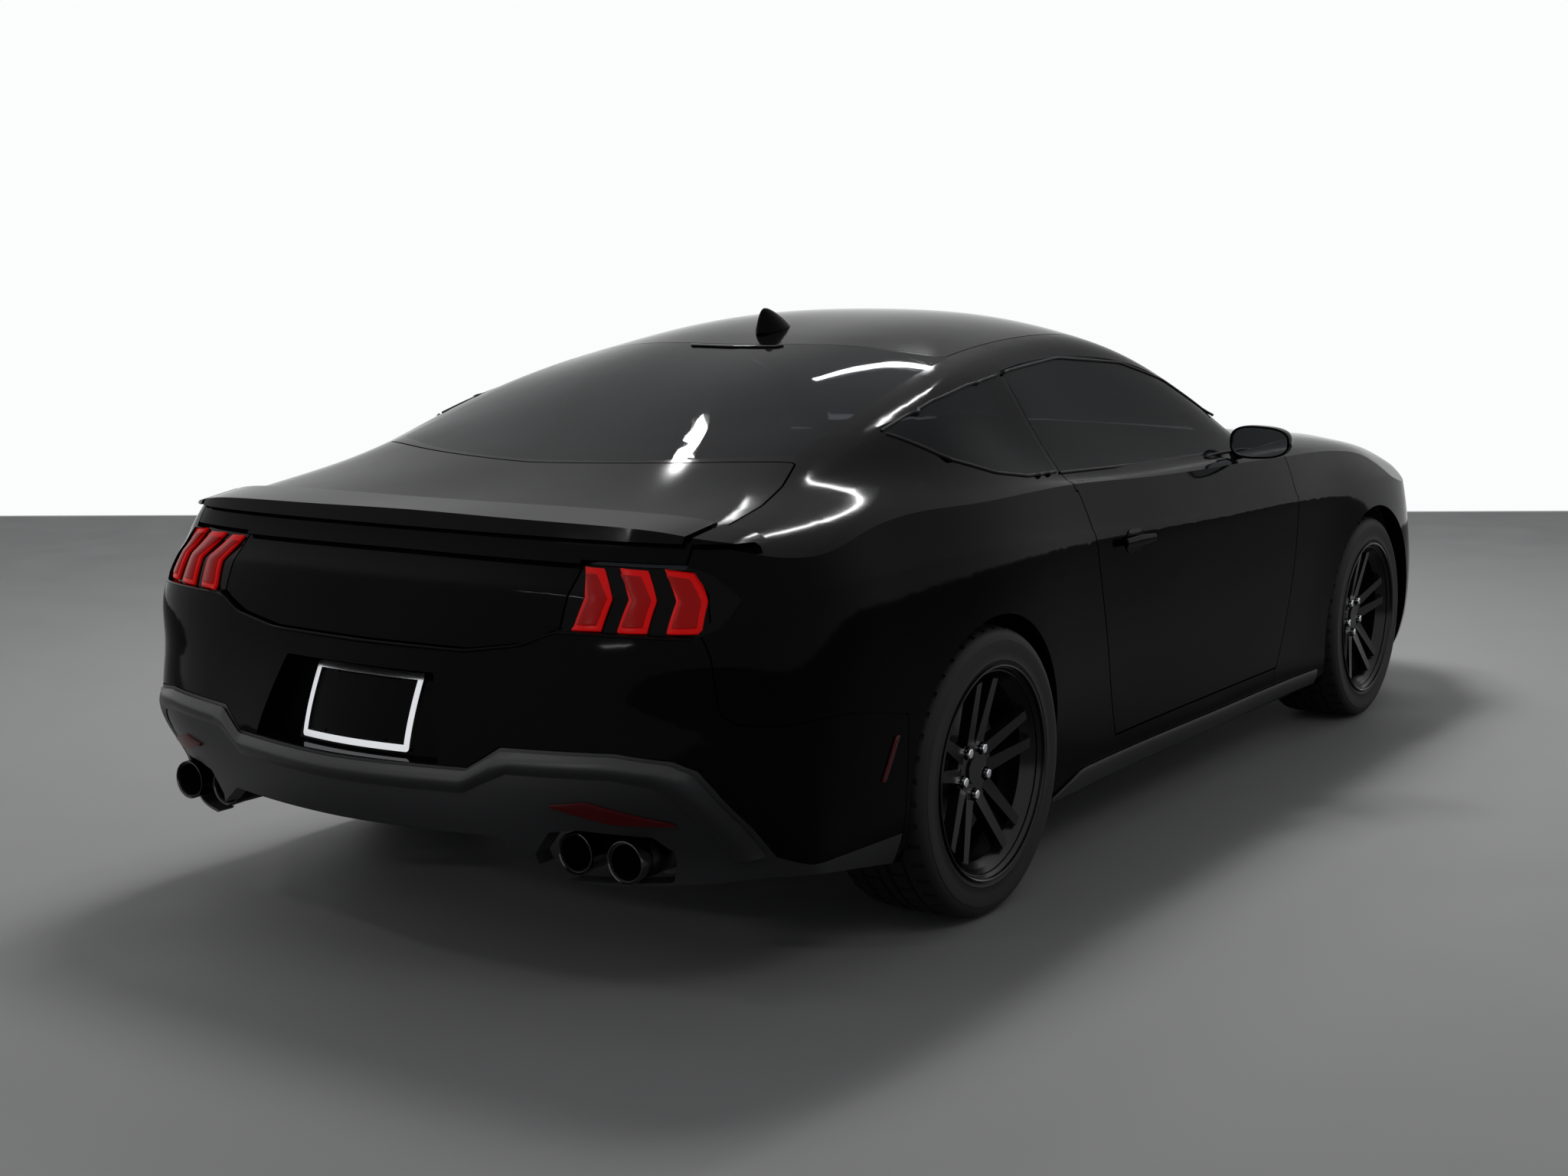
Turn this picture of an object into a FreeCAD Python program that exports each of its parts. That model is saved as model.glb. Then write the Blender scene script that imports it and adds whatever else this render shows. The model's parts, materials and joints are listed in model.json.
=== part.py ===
import FreeCAD, Part
import math
import os
import Sketcher
from FreeCAD import Placement, Rotation, Vector

# Two-door fastback coupe. X points forward, Y to the left and Z up.
# The origin lies on the ground under the middle of the car.

os.makedirs("parts", exist_ok=True)
doc = FreeCAD.newDocument("coupe")

# Driving sizes in millimetres and degrees, piece by piece
sizes = {
    "body": {
        "wheelbase": 2720,
        "front_overhang": 940,
        "rear_overhang": 1151,
        "body_width": 1915,
        "roof_height": 1388,
    },
    "panels": {
        "panel_gap": 5,
        "seam": 3,
        "seat": 0.3,
        "cover_wall": 25,
        "fender_wall": 60,
        "bumper_wall": 40,
        "pillar_wall": 40,
        "door_wall": 110,
        "door_skin": 25,
        "door_step": 15,
        "glass_wall": 6,
        "lamp_wall": 90,
        "tail_lamp_wall": 60,
        "corner_radius": 8,
        "seam_depth": 4,
        "overrun": 60,
        "door_inner": 560,
        "blade_overhang": 14,
        "blade_height": 13,
        "grille_recess": 14,
        "grille_depth": 18,
        "grille_rim": 12,
        "grille_pitch": 34,
        "grille_bar": 7,
        "plate_recess": 58,
        "pocket_wall": 6,
        "pocket_rim": 10,
        "panel_recess": 14,
        "frame_border": 14,
        "plate_hole_radius": 3.2,
        "plate_hole_width": 178,
        "plate_hole_height": 121,
    },
    "hinges": {
        "hinge_width": 30,
        "door_hinge_reach": 100,
        "door_hinge_depth": 15,
        "hood_hinge_reach": 70,
        "hood_hinge_depth": 14,
        "lid_hinge_reach": 140,
        "lid_hinge_depth": 20,
    },
    "wheels": {
        "track_front": 1582,
        "track_rear": 1648,
        "tyre_radius": 341,
        "tyre_width": 255,
        "tread_width": 210,
        "tyre_wall": 11,
        "rim_radius": 253,
        "rim_width": 242,
        "rim_wall": 9,
        "flange_height": 17,
        "flange_wall": 8,
        "bead_width": 16,
        "drop_depth": 14,
        "wheel_offset": 45,
        "hub_pad": 26,
        "hub_radius": 78,
        "spoke_root_width": 34,
        "spoke_tip_width": 24,
        "spoke_depth": 30,
        "spoke_dish": 34,
        "spoke_spread": 13,
        "lug_circle": 114.3,
        "lug_radius": 11,
        "lug_height": 22,
        "lug_pocket": 16,
        "pocket_depth": 14,
        "cap_radius": 32,
        "cap_height": 5,
        "bore_radius": 25,
        "drop_slope": 17,
        "spoke_root": 60,
        "split_root": 4,
        "split_tip": 26,
    },
    "brakes": {
        "disc_radius": 190,
        "disc_inner": 70,
        "disc_width": 32,
        "hat_radius": 78,
        "hat_wall": 9,
        "caliper_radius": 204,
        "caliper_height": 190,
        "caliper_gap": 6,
        "caliper_wall": 22,
        "caliper_outer": 10,
        "caliper_clear": 30,
        "caliper_trim": 20,
        "carrier_inner": 91,
        "carrier_outer": 26,
        "carrier_width": 80,
        "spindle_radius": 40,
    },
    "suspension": {
        "kingpin_inset": 60,
        "arm_wall": 16,
        "strut_low": 131,
        "strut_middle": 180,
        "strut_top": 266,
        "strut_radius": 22,
        "shaft_radius": 18,
    },
    "structure": {
        "sheet_wall": 6,
        "apron_wall": 22,
        "liner_gap": 2,
        "beam_depth": 40,
        "axle_hole": 150,
        "plate_depth": 8,
        "dash_inset": 125,
    },
    "controls": {
        "steering_radius": 175,
        "steering_grip": 15,
        "boss_radius": 45,
        "boss_length": 60,
        "column_radius": 32,
        "column_length": 140,
        "bar_radius": 9,
        "column_tilt": 25,
    },
    "exhaust": {
        "pipe_radius": 28,
        "muffler_round": 40,
        "tip_radius": 43,
        "tip_wall": 5,
    },
    "mirrors": {
        "mirror_length": 120,
        "mirror_width": 135,
        "mirror_height": 104,
        "mirror_inner": 898,
        "mirror_base": 950,
        "mirror_round": 24,
        "mirror_rim": 10,
        "mirror_bed": 6,
        "foot_length": 70,
        "foot_reach": 90,
        "foot_height": 24,
    },
    "arches": {
        "front_arch": 380,
        "rear_arch": 370,
        "lip_width": 30,
        "lip_wall": 14,
        "front_well_inner": 467,
        "rear_well_inner": 640,
        "liner_wall": 6,
    },
}

sheet = doc.addObject("Spreadsheet::Sheet", "Sizes")
row = 1
for piece, values in sizes.items():
    sheet.set(f"A{row}", piece)
    row += 1
    for name, value in values.items():
        sheet.set(f"A{row}", name)
        sheet.set(f"B{row}", str(value))
        sheet.setAlias(f"B{row}", name)
        row += 1
doc.recompute()


class Term:
    """A length that knows its value and its spreadsheet formula."""

    def __init__(self, value, text):
        self.value = float(value)
        self.text = text

    def __float__(self):
        return self.value

    def __neg__(self):
        return Term(-self.value, f"-({self.text})")

    def __add__(self, other):
        return Term(self.value + float(other), f"({self.text} + {text(other)})")

    def __radd__(self, other):
        return Term(float(other) + self.value, f"({text(other)} + {self.text})")

    def __sub__(self, other):
        return Term(self.value - float(other), f"({self.text} - {text(other)})")

    def __rsub__(self, other):
        return Term(float(other) - self.value, f"({text(other)} - {self.text})")

    def __mul__(self, other):
        return Term(self.value * float(other), f"({self.text} * {text(other)})")

    __rmul__ = __mul__

    def __truediv__(self, other):
        return Term(self.value / float(other), f"({self.text} / {text(other)})")


def text(term):
    return term.text if isinstance(term, Term) else repr(float(term))


def size(name):
    return Term(sheet.get(name), f"Sizes.{name}")


half_length = (size("wheelbase") + size("front_overhang") + size("rear_overhang")) / 2
half_width = size("body_width") / 2
roof = size("roof_height")
front_axle = half_length - size("front_overhang")
rear_axle = size("rear_overhang") - half_length
axle_height = size("tyre_radius")


def along(share):
    """Place along the car: -1 to 0 is the tail, 0 to 1 lies between the axles, 1 to 2 is the nose."""
    if share < 0:
        return rear_axle + share * size("rear_overhang")
    if share > 1:
        return front_axle + (share - 1) * size("front_overhang")
    return rear_axle + share * size("wheelbase")


def vec(x, y, z):
    return Vector(float(x), float(y), float(z))


# Body surfaces: the side skin as closed level outlines round the car
side_station_shares = [1.409, 1, 0.866, 0.727, 0.535, 0.351, 0.189, 0, -0.344, -0.561]
side_row_shares = [
    # underside
    {
        "heights": [0.1081, 0.1081, 0.1081, 0.1081, 0.1081],
        "nose": [(1.877, 0), (1.856, 0.397), (1.749, 0.668), (1.558, 0.825)],
        "side": [0.888, 0.909, 0.888, 0.872, 0.872, 0.872, 0.888, 0.898, 0.903, 0.888],
        "tail": [(-0.691, 0.836), (-0.804, 0.721), (-0.865, 0.418), (-0.878, 0)],
    },
    # skirt
    {
        "heights": [0.1549, 0.1549, 0.1549, 0.1549, 0.2089],
        "nose": [(1.962, 0), (1.941, 0.418), (1.835, 0.71), (1.616, 0.872)],
        "side": [0.935, 0.956, 0.933, 0.919, 0.919, 0.919, 0.933, 0.956, 0.961, 0.956],
        "tail": [(-0.656, 0.917), (-0.813, 0.71), (-0.913, 0.418), (-0.952, 0)],
    },
    # lower door
    {
        "heights": [0.2378, 0.2378, 0.2378, 0.2378, 0.263],
        "nose": [(1.992, 0), (1.973, 0.418), (1.872, 0.721), (1.638, 0.888)],
        "side": [0.961, 0.977, 0.945, 0.933, 0.93, 0.932, 0.948, 0.984, 0.982, 0.971],
        "tail": [(-0.682, 0.927), (-0.826, 0.721), (-0.936, 0.418), (-0.987, 0)],
    },
    # bumper
    {
        "heights": [0.3458, 0.3458, 0.3458, 0.3458, 0.3458],
        "nose": [(2, 0), (1.979, 0.418), (1.877, 0.731), (1.641, 0.894)],
        "side": [0.966, 0.982, 0.952, 0.942, 0.94, 0.945, 0.963, 0.995, 0.987, 0.974],
        "tail": [(-0.722, 0.919), (-0.865, 0.736), (-0.947, 0.418), (-1, 0)],
    },
    # mid door
    {
        "heights": [0.4467, 0.4467, 0.4467, 0.4467, 0.4467],
        "nose": [(1.992, 0), (1.971, 0.418), (1.861, 0.731), (1.606, 0.888)],
        "side": [0.959, 0.98, 0.958, 0.952, 0.951, 0.956, 0.971, 0.999, 0.987, 0.971],
        "tail": [(-0.722, 0.912), (-0.854, 0.733), (-0.919, 0.418), (-0.959, 0)],
    },
    # haunch
    {
        "heights": [0.5259, 0.5259, 0.5295, 0.5403, 0.5331],
        "nose": [(1.968, 0), (1.941, 0.418), (1.819, 0.721), (1.553, 0.879)],
        "side": [0.945, 0.973, 0.961, 0.958, 0.958, 0.961, 0.973, 1, 0.984, 0.963],
        "tail": [(-0.73, 0.896), (-0.837, 0.748), (-0.891, 0.418), (-0.904, 0)],
    },
    # below the crease
    {
        "heights": [0.5692, 0.5764, 0.585, 0.6124, 0.598],
        "nose": [(1.936, 0), (1.907, 0.418), (1.776, 0.7), (1.505, 0.862)],
        "side": [0.93, 0.963, 0.959, 0.96, 0.961, 0.963, 0.971, 0.992, 0.973, 0.948],
        "tail": [(-0.705, 0.875), (-0.804, 0.735), (-0.863, 0.418), (-0.875, 0)],
    },
    # above the crease
    {
        "heights": [0.5807, 0.5879, 0.5965, 0.6239, 0.6095],
        "nose": [(1.92, 0), (1.888, 0.418), (1.758, 0.693), (1.492, 0.85)],
        "side": [0.919, 0.955, 0.951, 0.954, 0.955, 0.957, 0.965, 0.986, 0.966, 0.94],
        "tail": [(-0.7, 0.867), (-0.794, 0.729), (-0.853, 0.418), (-0.865, 0)],
    },
    # shoulder
    {
        "heights": [0.6484, 0.6484, 0.6499, 0.6628, 0.652],
        "nose": [(1.835, 0), (1.797, 0.407), (1.675, 0.668), (1.441, 0.804)],
        "side": [0.856, 0.907, 0.923, 0.933, 0.937, 0.939, 0.946, 0.959, 0.933, 0.909],
        "tail": [(-0.695, 0.836), (-0.765, 0.71), (-0.804, 0.418), (-0.813, 0)],
    },
    # over the shoulder
    {
        "heights": [0.7925, 0.7925, 0.7925, 0.7925, 0.7925],
        "nose": [(1.654, 0), (1.622, 0.397), (1.526, 0.606), (1.356, 0.721)],
        "side": [0.752, 0.804, 0.836, 0.851, 0.858, 0.862, 0.869, 0.872, 0.836, 0.804],
        "tail": [(-0.63, 0.731), (-0.687, 0.648), (-0.717, 0.397), (-0.726, 0)],
    },
    # clear of the roof
    {
        "heights": [1.0447, 1.0447, 1.0447, 1.0447, 1.0447],
        "nose": [(1.271, 0), (1.239, 0.376), (1.143, 0.564), (1.037, 0.627)],
        "side": [0.627, 0.668, 0.7, 0.721, 0.728, 0.731, 0.731, 0.731, 0.7, 0.668],
        "tail": [(-0.491, 0.627), (-0.535, 0.564), (-0.561, 0.376), (-0.57, 0)],
    },
]

# Heights above are given at the nose, front axle, door, rear axle and tail
height_anchor_shares = [2, 1, 0.461, 0, -1]

# The crown over the car: hood, windshield, roof, rear glass and deck
# Each station runs from the centre line out to the shoulder
crown_station_shares = [
    (2.079, [(0, 0.4751), (0.313, 0.4715), (0.585, 0.4561), (0.728, 0.4324), (0.779, 0.422),
      (0.832, 0.4091), (0.874, 0.3983), (0.926, 0.3808), (1.044, 0.3463)]),  # ahead of the nose
    (1.92, [(0, 0.5429), (0.313, 0.5403), (0.585, 0.5225), (0.724, 0.5001), (0.779, 0.4878),
      (0.83, 0.4748), (0.872, 0.4588), (0.923, 0.4362), (1.044, 0.3729)]),
    (1.76, [(0, 0.5915), (0.313, 0.5897), (0.595, 0.574), (0.724, 0.5568), (0.78, 0.5452),
      (0.832, 0.5305), (0.872, 0.513), (0.921, 0.4852), (1.044, 0.4056)]),  # hood's front edge
    (1.526, [(0, 0.6388), (0.313, 0.6378), (0.617, 0.6274), (0.729, 0.6172), (0.786, 0.609),
      (0.839, 0.5933), (0.877, 0.5782), (0.923, 0.5442), (1.044, 0.4598)]),
    (1.249, [(0, 0.6749), (0.313, 0.6735), (0.636, 0.6651), (0.738, 0.6561), (0.795, 0.6509),
      (0.848, 0.6401), (0.885, 0.6225), (0.927, 0.5936), (1.044, 0.5049)]),
    (1, [(0, 0.6959), (0.313, 0.6939), (0.648, 0.6846), (0.747, 0.6813), (0.804, 0.6755),
      (0.857, 0.6664), (0.894, 0.6521), (0.933, 0.6254), (1.044, 0.5473)]),  # front axle
    (0.902, [(0, 0.7115), (0.313, 0.7104), (0.658, 0.7013), (0.754, 0.7014), (0.812, 0.6955),
      (0.865, 0.6842), (0.902, 0.6687), (0.939, 0.6423), (1.044, 0.5687)]),
    (0.81, [(0, 0.7215), (0.313, 0.7206), (0.668, 0.7148), (0.758, 0.7096), (0.817, 0.7064),
      (0.872, 0.6929), (0.907, 0.6769), (0.942, 0.6509), (1.044, 0.5772)]),
    (0.755, [(0, 0.7323), (0.313, 0.7267), (0.679, 0.7159), (0.769, 0.7126), (0.824, 0.7071),
      (0.876, 0.6955), (0.908, 0.6802), (0.943, 0.6545), (1.044, 0.5803)]),  # cowl
    (0.711, [(0, 0.7631), (0.313, 0.7553), (0.693, 0.7258), (0.787, 0.7159), (0.834, 0.7079),
      (0.879, 0.6965), (0.909, 0.6821), (0.944, 0.6568), (1.044, 0.5823)]),  # windshield
    (0.667, [(0, 0.8048), (0.313, 0.796), (0.705, 0.7543), (0.805, 0.7282), (0.844, 0.7146),
      (0.881, 0.697), (0.909, 0.6836), (0.945, 0.6587), (1.044, 0.5837)]),
    (0.619, [(0, 0.8541), (0.313, 0.8452), (0.69, 0.7997), (0.783, 0.7755), (0.838, 0.7354),
      (0.883, 0.697), (0.91, 0.6847), (0.945, 0.6602), (1.044, 0.585)]),
    (0.572, [(0, 0.9023), (0.313, 0.8936), (0.658, 0.8498), (0.746, 0.8259), (0.822, 0.7586),
      (0.886, 0.697), (0.91, 0.6855), (0.946, 0.6613), (1.044, 0.5863)]),
    (0.516, [(0, 0.9494), (0.313, 0.9408), (0.619, 0.901), (0.708, 0.8706), (0.802, 0.7804),
      (0.888, 0.6972), (0.91, 0.6862), (0.947, 0.6622), (1.044, 0.588)]),
    (0.461, [(0, 0.981), (0.313, 0.972), (0.59, 0.9352), (0.681, 0.8975), (0.788, 0.7937),
      (0.889, 0.6981), (0.911, 0.6868), (0.949, 0.663), (1.044, 0.5903)]),  # roof header
    (0.394, [(0, 0.9998), (0.313, 0.9902), (0.57, 0.9551), (0.665, 0.9116), (0.779, 0.8002),
      (0.891, 0.7), (0.913, 0.6878), (0.953, 0.6641), (1.044, 0.5936)]),  # roof peak
    (0.296, [(0, 0.9972), (0.313, 0.9883), (0.564, 0.9538), (0.665, 0.9089), (0.78, 0.7999),
      (0.893, 0.7034), (0.917, 0.6911), (0.958, 0.667), (1.044, 0.5983)]),
    (0.204, [(0, 0.9729), (0.313, 0.9671), (0.577, 0.9335), (0.682, 0.8944), (0.789, 0.7958),
      (0.893, 0.7081), (0.921, 0.6963), (0.965, 0.6715), (1.05, 0.6015)]),
    (0.123, [(0, 0.9388), (0.313, 0.9344), (0.595, 0.9039), (0.703, 0.8722), (0.8, 0.7871),
      (0.893, 0.7165), (0.925, 0.7001), (0.97, 0.6744), (1.055, 0.6024)]),  # rear header
    (0.038, [(0, 0.8937), (0.313, 0.8893), (0.615, 0.8623), (0.724, 0.8373), (0.811, 0.7823),
      (0.892, 0.722), (0.929, 0.6999), (0.977, 0.673), (1.065, 0.6003)]),
    (-0.109, [(0, 0.8429), (0.313, 0.8378), (0.63, 0.8126), (0.737, 0.7888), (0.817, 0.7529),
      (0.89, 0.7162), (0.933, 0.6929), (0.981, 0.6644), (1.065, 0.5942)]),
    (-0.265, [(0, 0.8023), (0.313, 0.7973), (0.638, 0.7734), (0.743, 0.7477), (0.818, 0.7274),
      (0.887, 0.7043), (0.933, 0.6824), (0.981, 0.6529), (1.065, 0.5852)]),
    (-0.422, [(0, 0.7638), (0.313, 0.7599), (0.643, 0.7393), (0.746, 0.7222), (0.818, 0.7058),
      (0.882, 0.6879), (0.928, 0.6675), (0.973, 0.6374), (1.055, 0.5716)]),  # rear glass base
    (-0.587, [(0, 0.7282), (0.313, 0.7267), (0.647, 0.712), (0.746, 0.7011), (0.816, 0.6864),
      (0.874, 0.6672), (0.916, 0.6473), (0.957, 0.6174), (1.044, 0.5517)]),
    (-0.726, [(0, 0.7043), (0.313, 0.7028), (0.648, 0.6932), (0.746, 0.6821), (0.814, 0.6682),
      (0.867, 0.6477), (0.905, 0.6275), (0.943, 0.5983), (1.044, 0.5323)]),  # deck
    (-0.848, [(0, 0.6881), (0.313, 0.684), (0.648, 0.6766), (0.746, 0.6633), (0.811, 0.6481),
      (0.861, 0.6292), (0.897, 0.6086), (0.934, 0.5802), (1.044, 0.5147)]),
    (-1.03, [(0, 0.6592), (0.313, 0.6576), (0.647, 0.646), (0.747, 0.634), (0.808, 0.6182),
      (0.856, 0.5994), (0.894, 0.5787), (0.936, 0.5514), (1.044, 0.4902)]),  # behind the tail
]


def between(anchors, values, place):
    """Value at a place, straight between falling anchors."""
    for near, far, first, second in zip(anchors, anchors[1:], values, values[1:]):
        if place >= far:
            share = min(1, max(0, (near - place) / (near - far)))
            return first + (second - first) * share
    return values[-1]


def level_outline(level, inset, raise_by):
    """Closed outline of one level, moved in by an inset."""
    left = level["nose"] + list(zip(side_station_shares, level["side"])) + level["tail"]
    long_scale = 1 - float(inset) / float(half_length)
    wide_scale = 1 - float(inset) / float(half_width)
    points = []
    for x_share, y_share in left:
        z_share = between(height_anchor_shares, level["heights"], x_share)
        z = float(roof * z_share) + raise_by
        points.append(vec(along(x_share) * long_scale, half_width * y_share * wide_scale, z))
    return points + [vec(p.x, -p.y, p.z) for p in points[-2:0:-1]]


def crown_arch(station, inset):
    """Arch across the car at one station, moved in by an inset."""
    x_share, half = station
    wide_scale = 1 - float(inset) / float(half_width)
    left = [
        vec(along(x_share), half_width * y * wide_scale, roof * z - inset) for y, z in half
    ]
    return [vec(p.x, -p.y, p.z) for p in left[:0:-1]] + left


def spacing(points, closed):
    """Curve parameters that follow the spacing of the points."""
    loop = points + points[:1] if closed else points
    total = [0.0]
    for start, end in zip(loop, loop[1:]):
        total.append(total[-1] + math.sqrt((end - start).Length))
    return [value / total[-1] for value in total]


def average(rows):
    return [sum(column) / len(rows) for column in zip(*rows)]


def skin_through(rows, closed):
    """One smooth surface through rows of points."""
    row_places = average([spacing(row, closed) for row in rows])
    column_places = average([spacing(list(column), False) for column in zip(*rows)])
    row_poles = []
    for points in rows:
        curve = Part.BSplineCurve()
        curve.interpolate(Points=points, PeriodicFlag=closed, Parameters=row_places)
        row_poles.append(curve.getPoles())
    poles = []
    for points in zip(*row_poles):
        cross = Part.BSplineCurve()
        cross.interpolate(Points=list(points), Parameters=column_places)
        poles.append(cross.getPoles())
    surface = Part.BSplineSurface()
    surface.buildFromPolesMultsKnots(
        poles, curve.getMultiplicities(), cross.getMultiplicities(),
        curve.getKnots(), cross.getKnots(), closed, False, curve.Degree, cross.Degree,
    )
    return surface.toShape()


def sides(inset):
    """Solid inside the side skin, moved in by an inset and open past both ends of it."""
    reach = max(0, float(inset))
    rows = []
    for level in side_row_shares:
        raise_by = 0
        if level is side_row_shares[0]:
            raise_by = -reach
        if level is side_row_shares[-1]:
            raise_by = reach
        rows.append(level_outline(level, inset, raise_by))
    face = skin_through(rows, True)
    caps = [Part.Face(Part.Wire([edge])) for edge in face.Edges if len(edge.Vertexes) == 1]
    caps = [cap for cap in caps if abs(cap.normalAt(0, 0).z) > 0.99]
    shell = Part.Shell([face] + caps)
    shell.sewShape()
    solid = Part.Solid(shell)
    return solid if solid.Volume > 0 else solid.reversed()


def crown(inset):
    """Solid under the crown, moved in by an inset."""
    face = skin_through([crown_arch(station, inset) for station in crown_station_shares], False)
    return face.extrude(vec(0, 0, -1.5 * roof))


made = {}


def side_solid(inset):
    key = ("side", round(float(inset), 3))
    if key not in made:
        made[key] = sides(inset)
    return made[key]


def crown_solid(inset):
    key = ("crown", round(float(inset), 3))
    if key not in made:
        made[key] = crown(inset)
    return made[key]


def hollow(side_inset, top_inset):
    """The body's form, moved in from the sides and from the top."""
    key = (round(float(side_inset), 3), round(float(top_inset), 3))
    if key not in made:
        made[key] = side_solid(side_inset).common(crown_solid(top_inset))
    return made[key]


def skin(shape, side_wall, top_wall):
    """The part of the body's shell that lies within a shape."""
    return hollow(0, 0).common(shape).cut(hollow(side_wall, top_wall))


# Outlines of the panels. A point in square brackets is the middle of an arc.
# Side outlines are (along, height), plan outlines (along, width), rear outlines (width, height).
door_shares = [
    (0.712, 0.2061), [(0.741, 0.4611)], (0.724, 0.6844), (0.724, 0.6931), (0.667, 0.6974),
    (0.461, 0.7024), (0.19, 0.7133), [(0.231, 0.4611)], (0.285, 0.2061),
]
door_glass_shares = [
    (0.676, 0.6844), (0.619, 0.7723), [(0.541, 0.853)], (0.461, 0.8927), [(0.333, 0.9092)],
    (0.204, 0.8905), (0.189, 0.6844),
]
quarter_glass_shares = [
    (0.182, 0.719), [(0.086, 0.7291)], (0.003, 0.7687), (-0.065, 0.8127), [(0.079, 0.8559)],
    (0.196, 0.8883),
]
windshield_shares = [
    (0.745, 0), [(0.736, 0.355)], (0.682, 0.721), (0.484, 0.598), [(0.501, 0.303)], (0.506, 0),
]
rear_glass_shares = [
    (0.123, 0), [(0.13, 0.303)], (0.159, 0.597), (-0.255, 0.627), [(-0.378, 0.345)], (-0.424, 0),
]
roof_shares = [
    (0.504, 0), [(0.499, 0.303)], (0.482, 0.585), (0.161, 0.585), [(0.133, 0.303)], (0.125, 0),
]
cowl_shares = [
    (0.777, 0), (0.772, 0.418), (0.752, 0.668), (0.731, 0.768), (0.678, 0.775), (0.667, 0.668),
    (0.715, 0),
]
hood_shares = [
    (0.769, 0), [(0.762, 0.376)], (0.739, 0.729), (1, 0.744), (1.622, 0.681), (1.765, 0.611),
    [(1.813, 0.313)], (1.826, 0),
]
fender_shares = [
    (0.697, 0.8285), (1.595, 0.8285), (1.595, 0.5764), (1.531, 0.4755), (1.446, 0.3746),
    (1.393, 0.3098), (1.393, 0.0865), (0.71, 0.0865), (0.71, 0.2161), (0.697, 0.6931),
]
headlamp_shares = [
    (0.569, 0.4769), (0.585, 0.5346), (0.731, 0.5418), (0.877, 0.5295), (0.945, 0.5043),
    (0.945, 0.4683), (0.856, 0.4582),
]
upper_grille_shares = [(0, 0.3386), (0.475, 0.3386), (0.543, 0.4035), (0.491, 0.5043), (0, 0.5043)]
lower_grille_shares = [(0, 0.1693), (0.585, 0.1693), (0.522, 0.263), (0, 0.263)]
rear_bumper_shares = [
    (-0.335, 0.0432), (-0.335, 0.3927), (-0.43, 0.4078), (-0.502, 0.4193), (-0.589, 0.4222),
    (-0.661, 0.4207), (-0.717, 0.4236), (-0.762, 0.4294), (-0.781, 0.4452), (-0.79, 0.495),
    (-0.794, 0.5584), (-1.082, 0.5584), (-1.082, 0.0432),
]
diffuser_shares = [
    (0, 0.3509), (0.35, 0.353), (0.386, 0.3689), (0.423, 0.3862), (0.678, 0.3905), (0.787, 0.3804),
    (0.827, 0.366), (0.848, 0.3408), (0.89, 0.2752), (0.911, 0.2255), (0.952, 0.2075),
    (1.044, 0.1888), (1.044, 0.0432), (0, 0.0432),
]
tail_lamp_shares = [
    (0.512, 0.5591), (0.512, 0.6556), (0.723, 0.6556), (0.801, 0.6405), (0.861, 0.6052),
    (0.856, 0.5843), (0.842, 0.5648), (0.814, 0.5548), (0.713, 0.5569), (0.579, 0.5569),
]
lid_face_shares = [
    (0, 0.518), (0.292, 0.5195), (0.434, 0.5346), (0.512, 0.5591), (0.512, 0.6592), (0, 0.6592),
]
lid_top_shares = [
    (-0.444, 0), [(-0.397, 0.345)], (-0.287, 0.645), (-0.387, 0.689), (-0.493, 0.721),
    (-0.704, 0.748), (-0.908, 0.748), (-0.908, 0),
]
spoiler_shares = [(-0.702, 0), [(-0.687, 0.418)], (-0.648, 0.737), (-0.995, 0.737), (-0.995, 0)]
spoiler_tip_shares = [
    (-0.648, 0.753), (-0.626, 0.836), (-0.639, 0.877), (-0.995, 0.877), (-0.995, 0.753),
]
tip_opening_shares = [
    (0.499, 0.1902), (0.483, 0.2291), (0.522, 0.2651), (0.585, 0.2709), (0.721, 0.2622),
    (0.754, 0.2349), (0.744, 0.1902),
]
tail_edge_shares = [
    (-0.265, 0.0288), (-0.265, 0.1441), (-0.335, 0.1527), (-0.464, 0.1707), (-0.617, 0.1902),
    (-0.684, 0.1931), (-0.739, 0.1873), (-1.082, 0.1816), (-1.082, 0.0288),
]
tail_notch_shares = [
    (0, 0.2507), (0.397, 0.2522), (0.47, 0.2219), (0.559, 0.183), (0.559, 0.0288), (0, 0.0288),
]
panel_recess_shares = [
    (0, 0.518), (0.292, 0.5195), (0.434, 0.5346), (0.512, 0.5569), (0.579, 0.5569),
    (0.713, 0.5569), (0.809, 0.5555), (0.83, 0.5764), (0.809, 0.6124), (0.768, 0.6434),
    (0.668, 0.647), (0, 0.6484),
]
plate_shares = [(0, 0.3581), (0.163, 0.3581), (0.163, 0.4719), (0, 0.4719)]
plate_recess_shares = [(0, 0.353), (0.282, 0.353), (0.225, 0.4813), (0, 0.4813)]
lid_ledge_share = 0.6527
blade_base_share = 0.6816
mirror_share = 0.588
tail_lamp_share = -0.7
headlamp_share = 1.526
bumper_start_share = 1.393
tip_shares = [(0.543, 0.2262), (0.677, 0.2262)]
tip_end_share = -0.856
plate_height_share = 0.415
door_hinge_shares = (0.744, 0.963)
door_hinge_height_shares = (0.3026, 0.5331)
hood_hinge_shares = (0.731, 0.627, 0.7291)
lid_hinge_shares = (-0.274, 0.627, 0.7745)


def place_side(x, z):
    return vec(along(x), 0, roof * z)


def place_plan(x, y):
    return vec(along(x), half_width * y, 0)


def place_rear(y, z):
    return vec(0, half_width * y, roof * z)


def mirrored(outline):
    """Closes a half outline over the centre line."""
    def flip(point):
        return [flip(point[0])] if isinstance(point, list) else (point[0], -point[1])
    return outline + [flip(point) for point in outline[-2:0:-1]]


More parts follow.
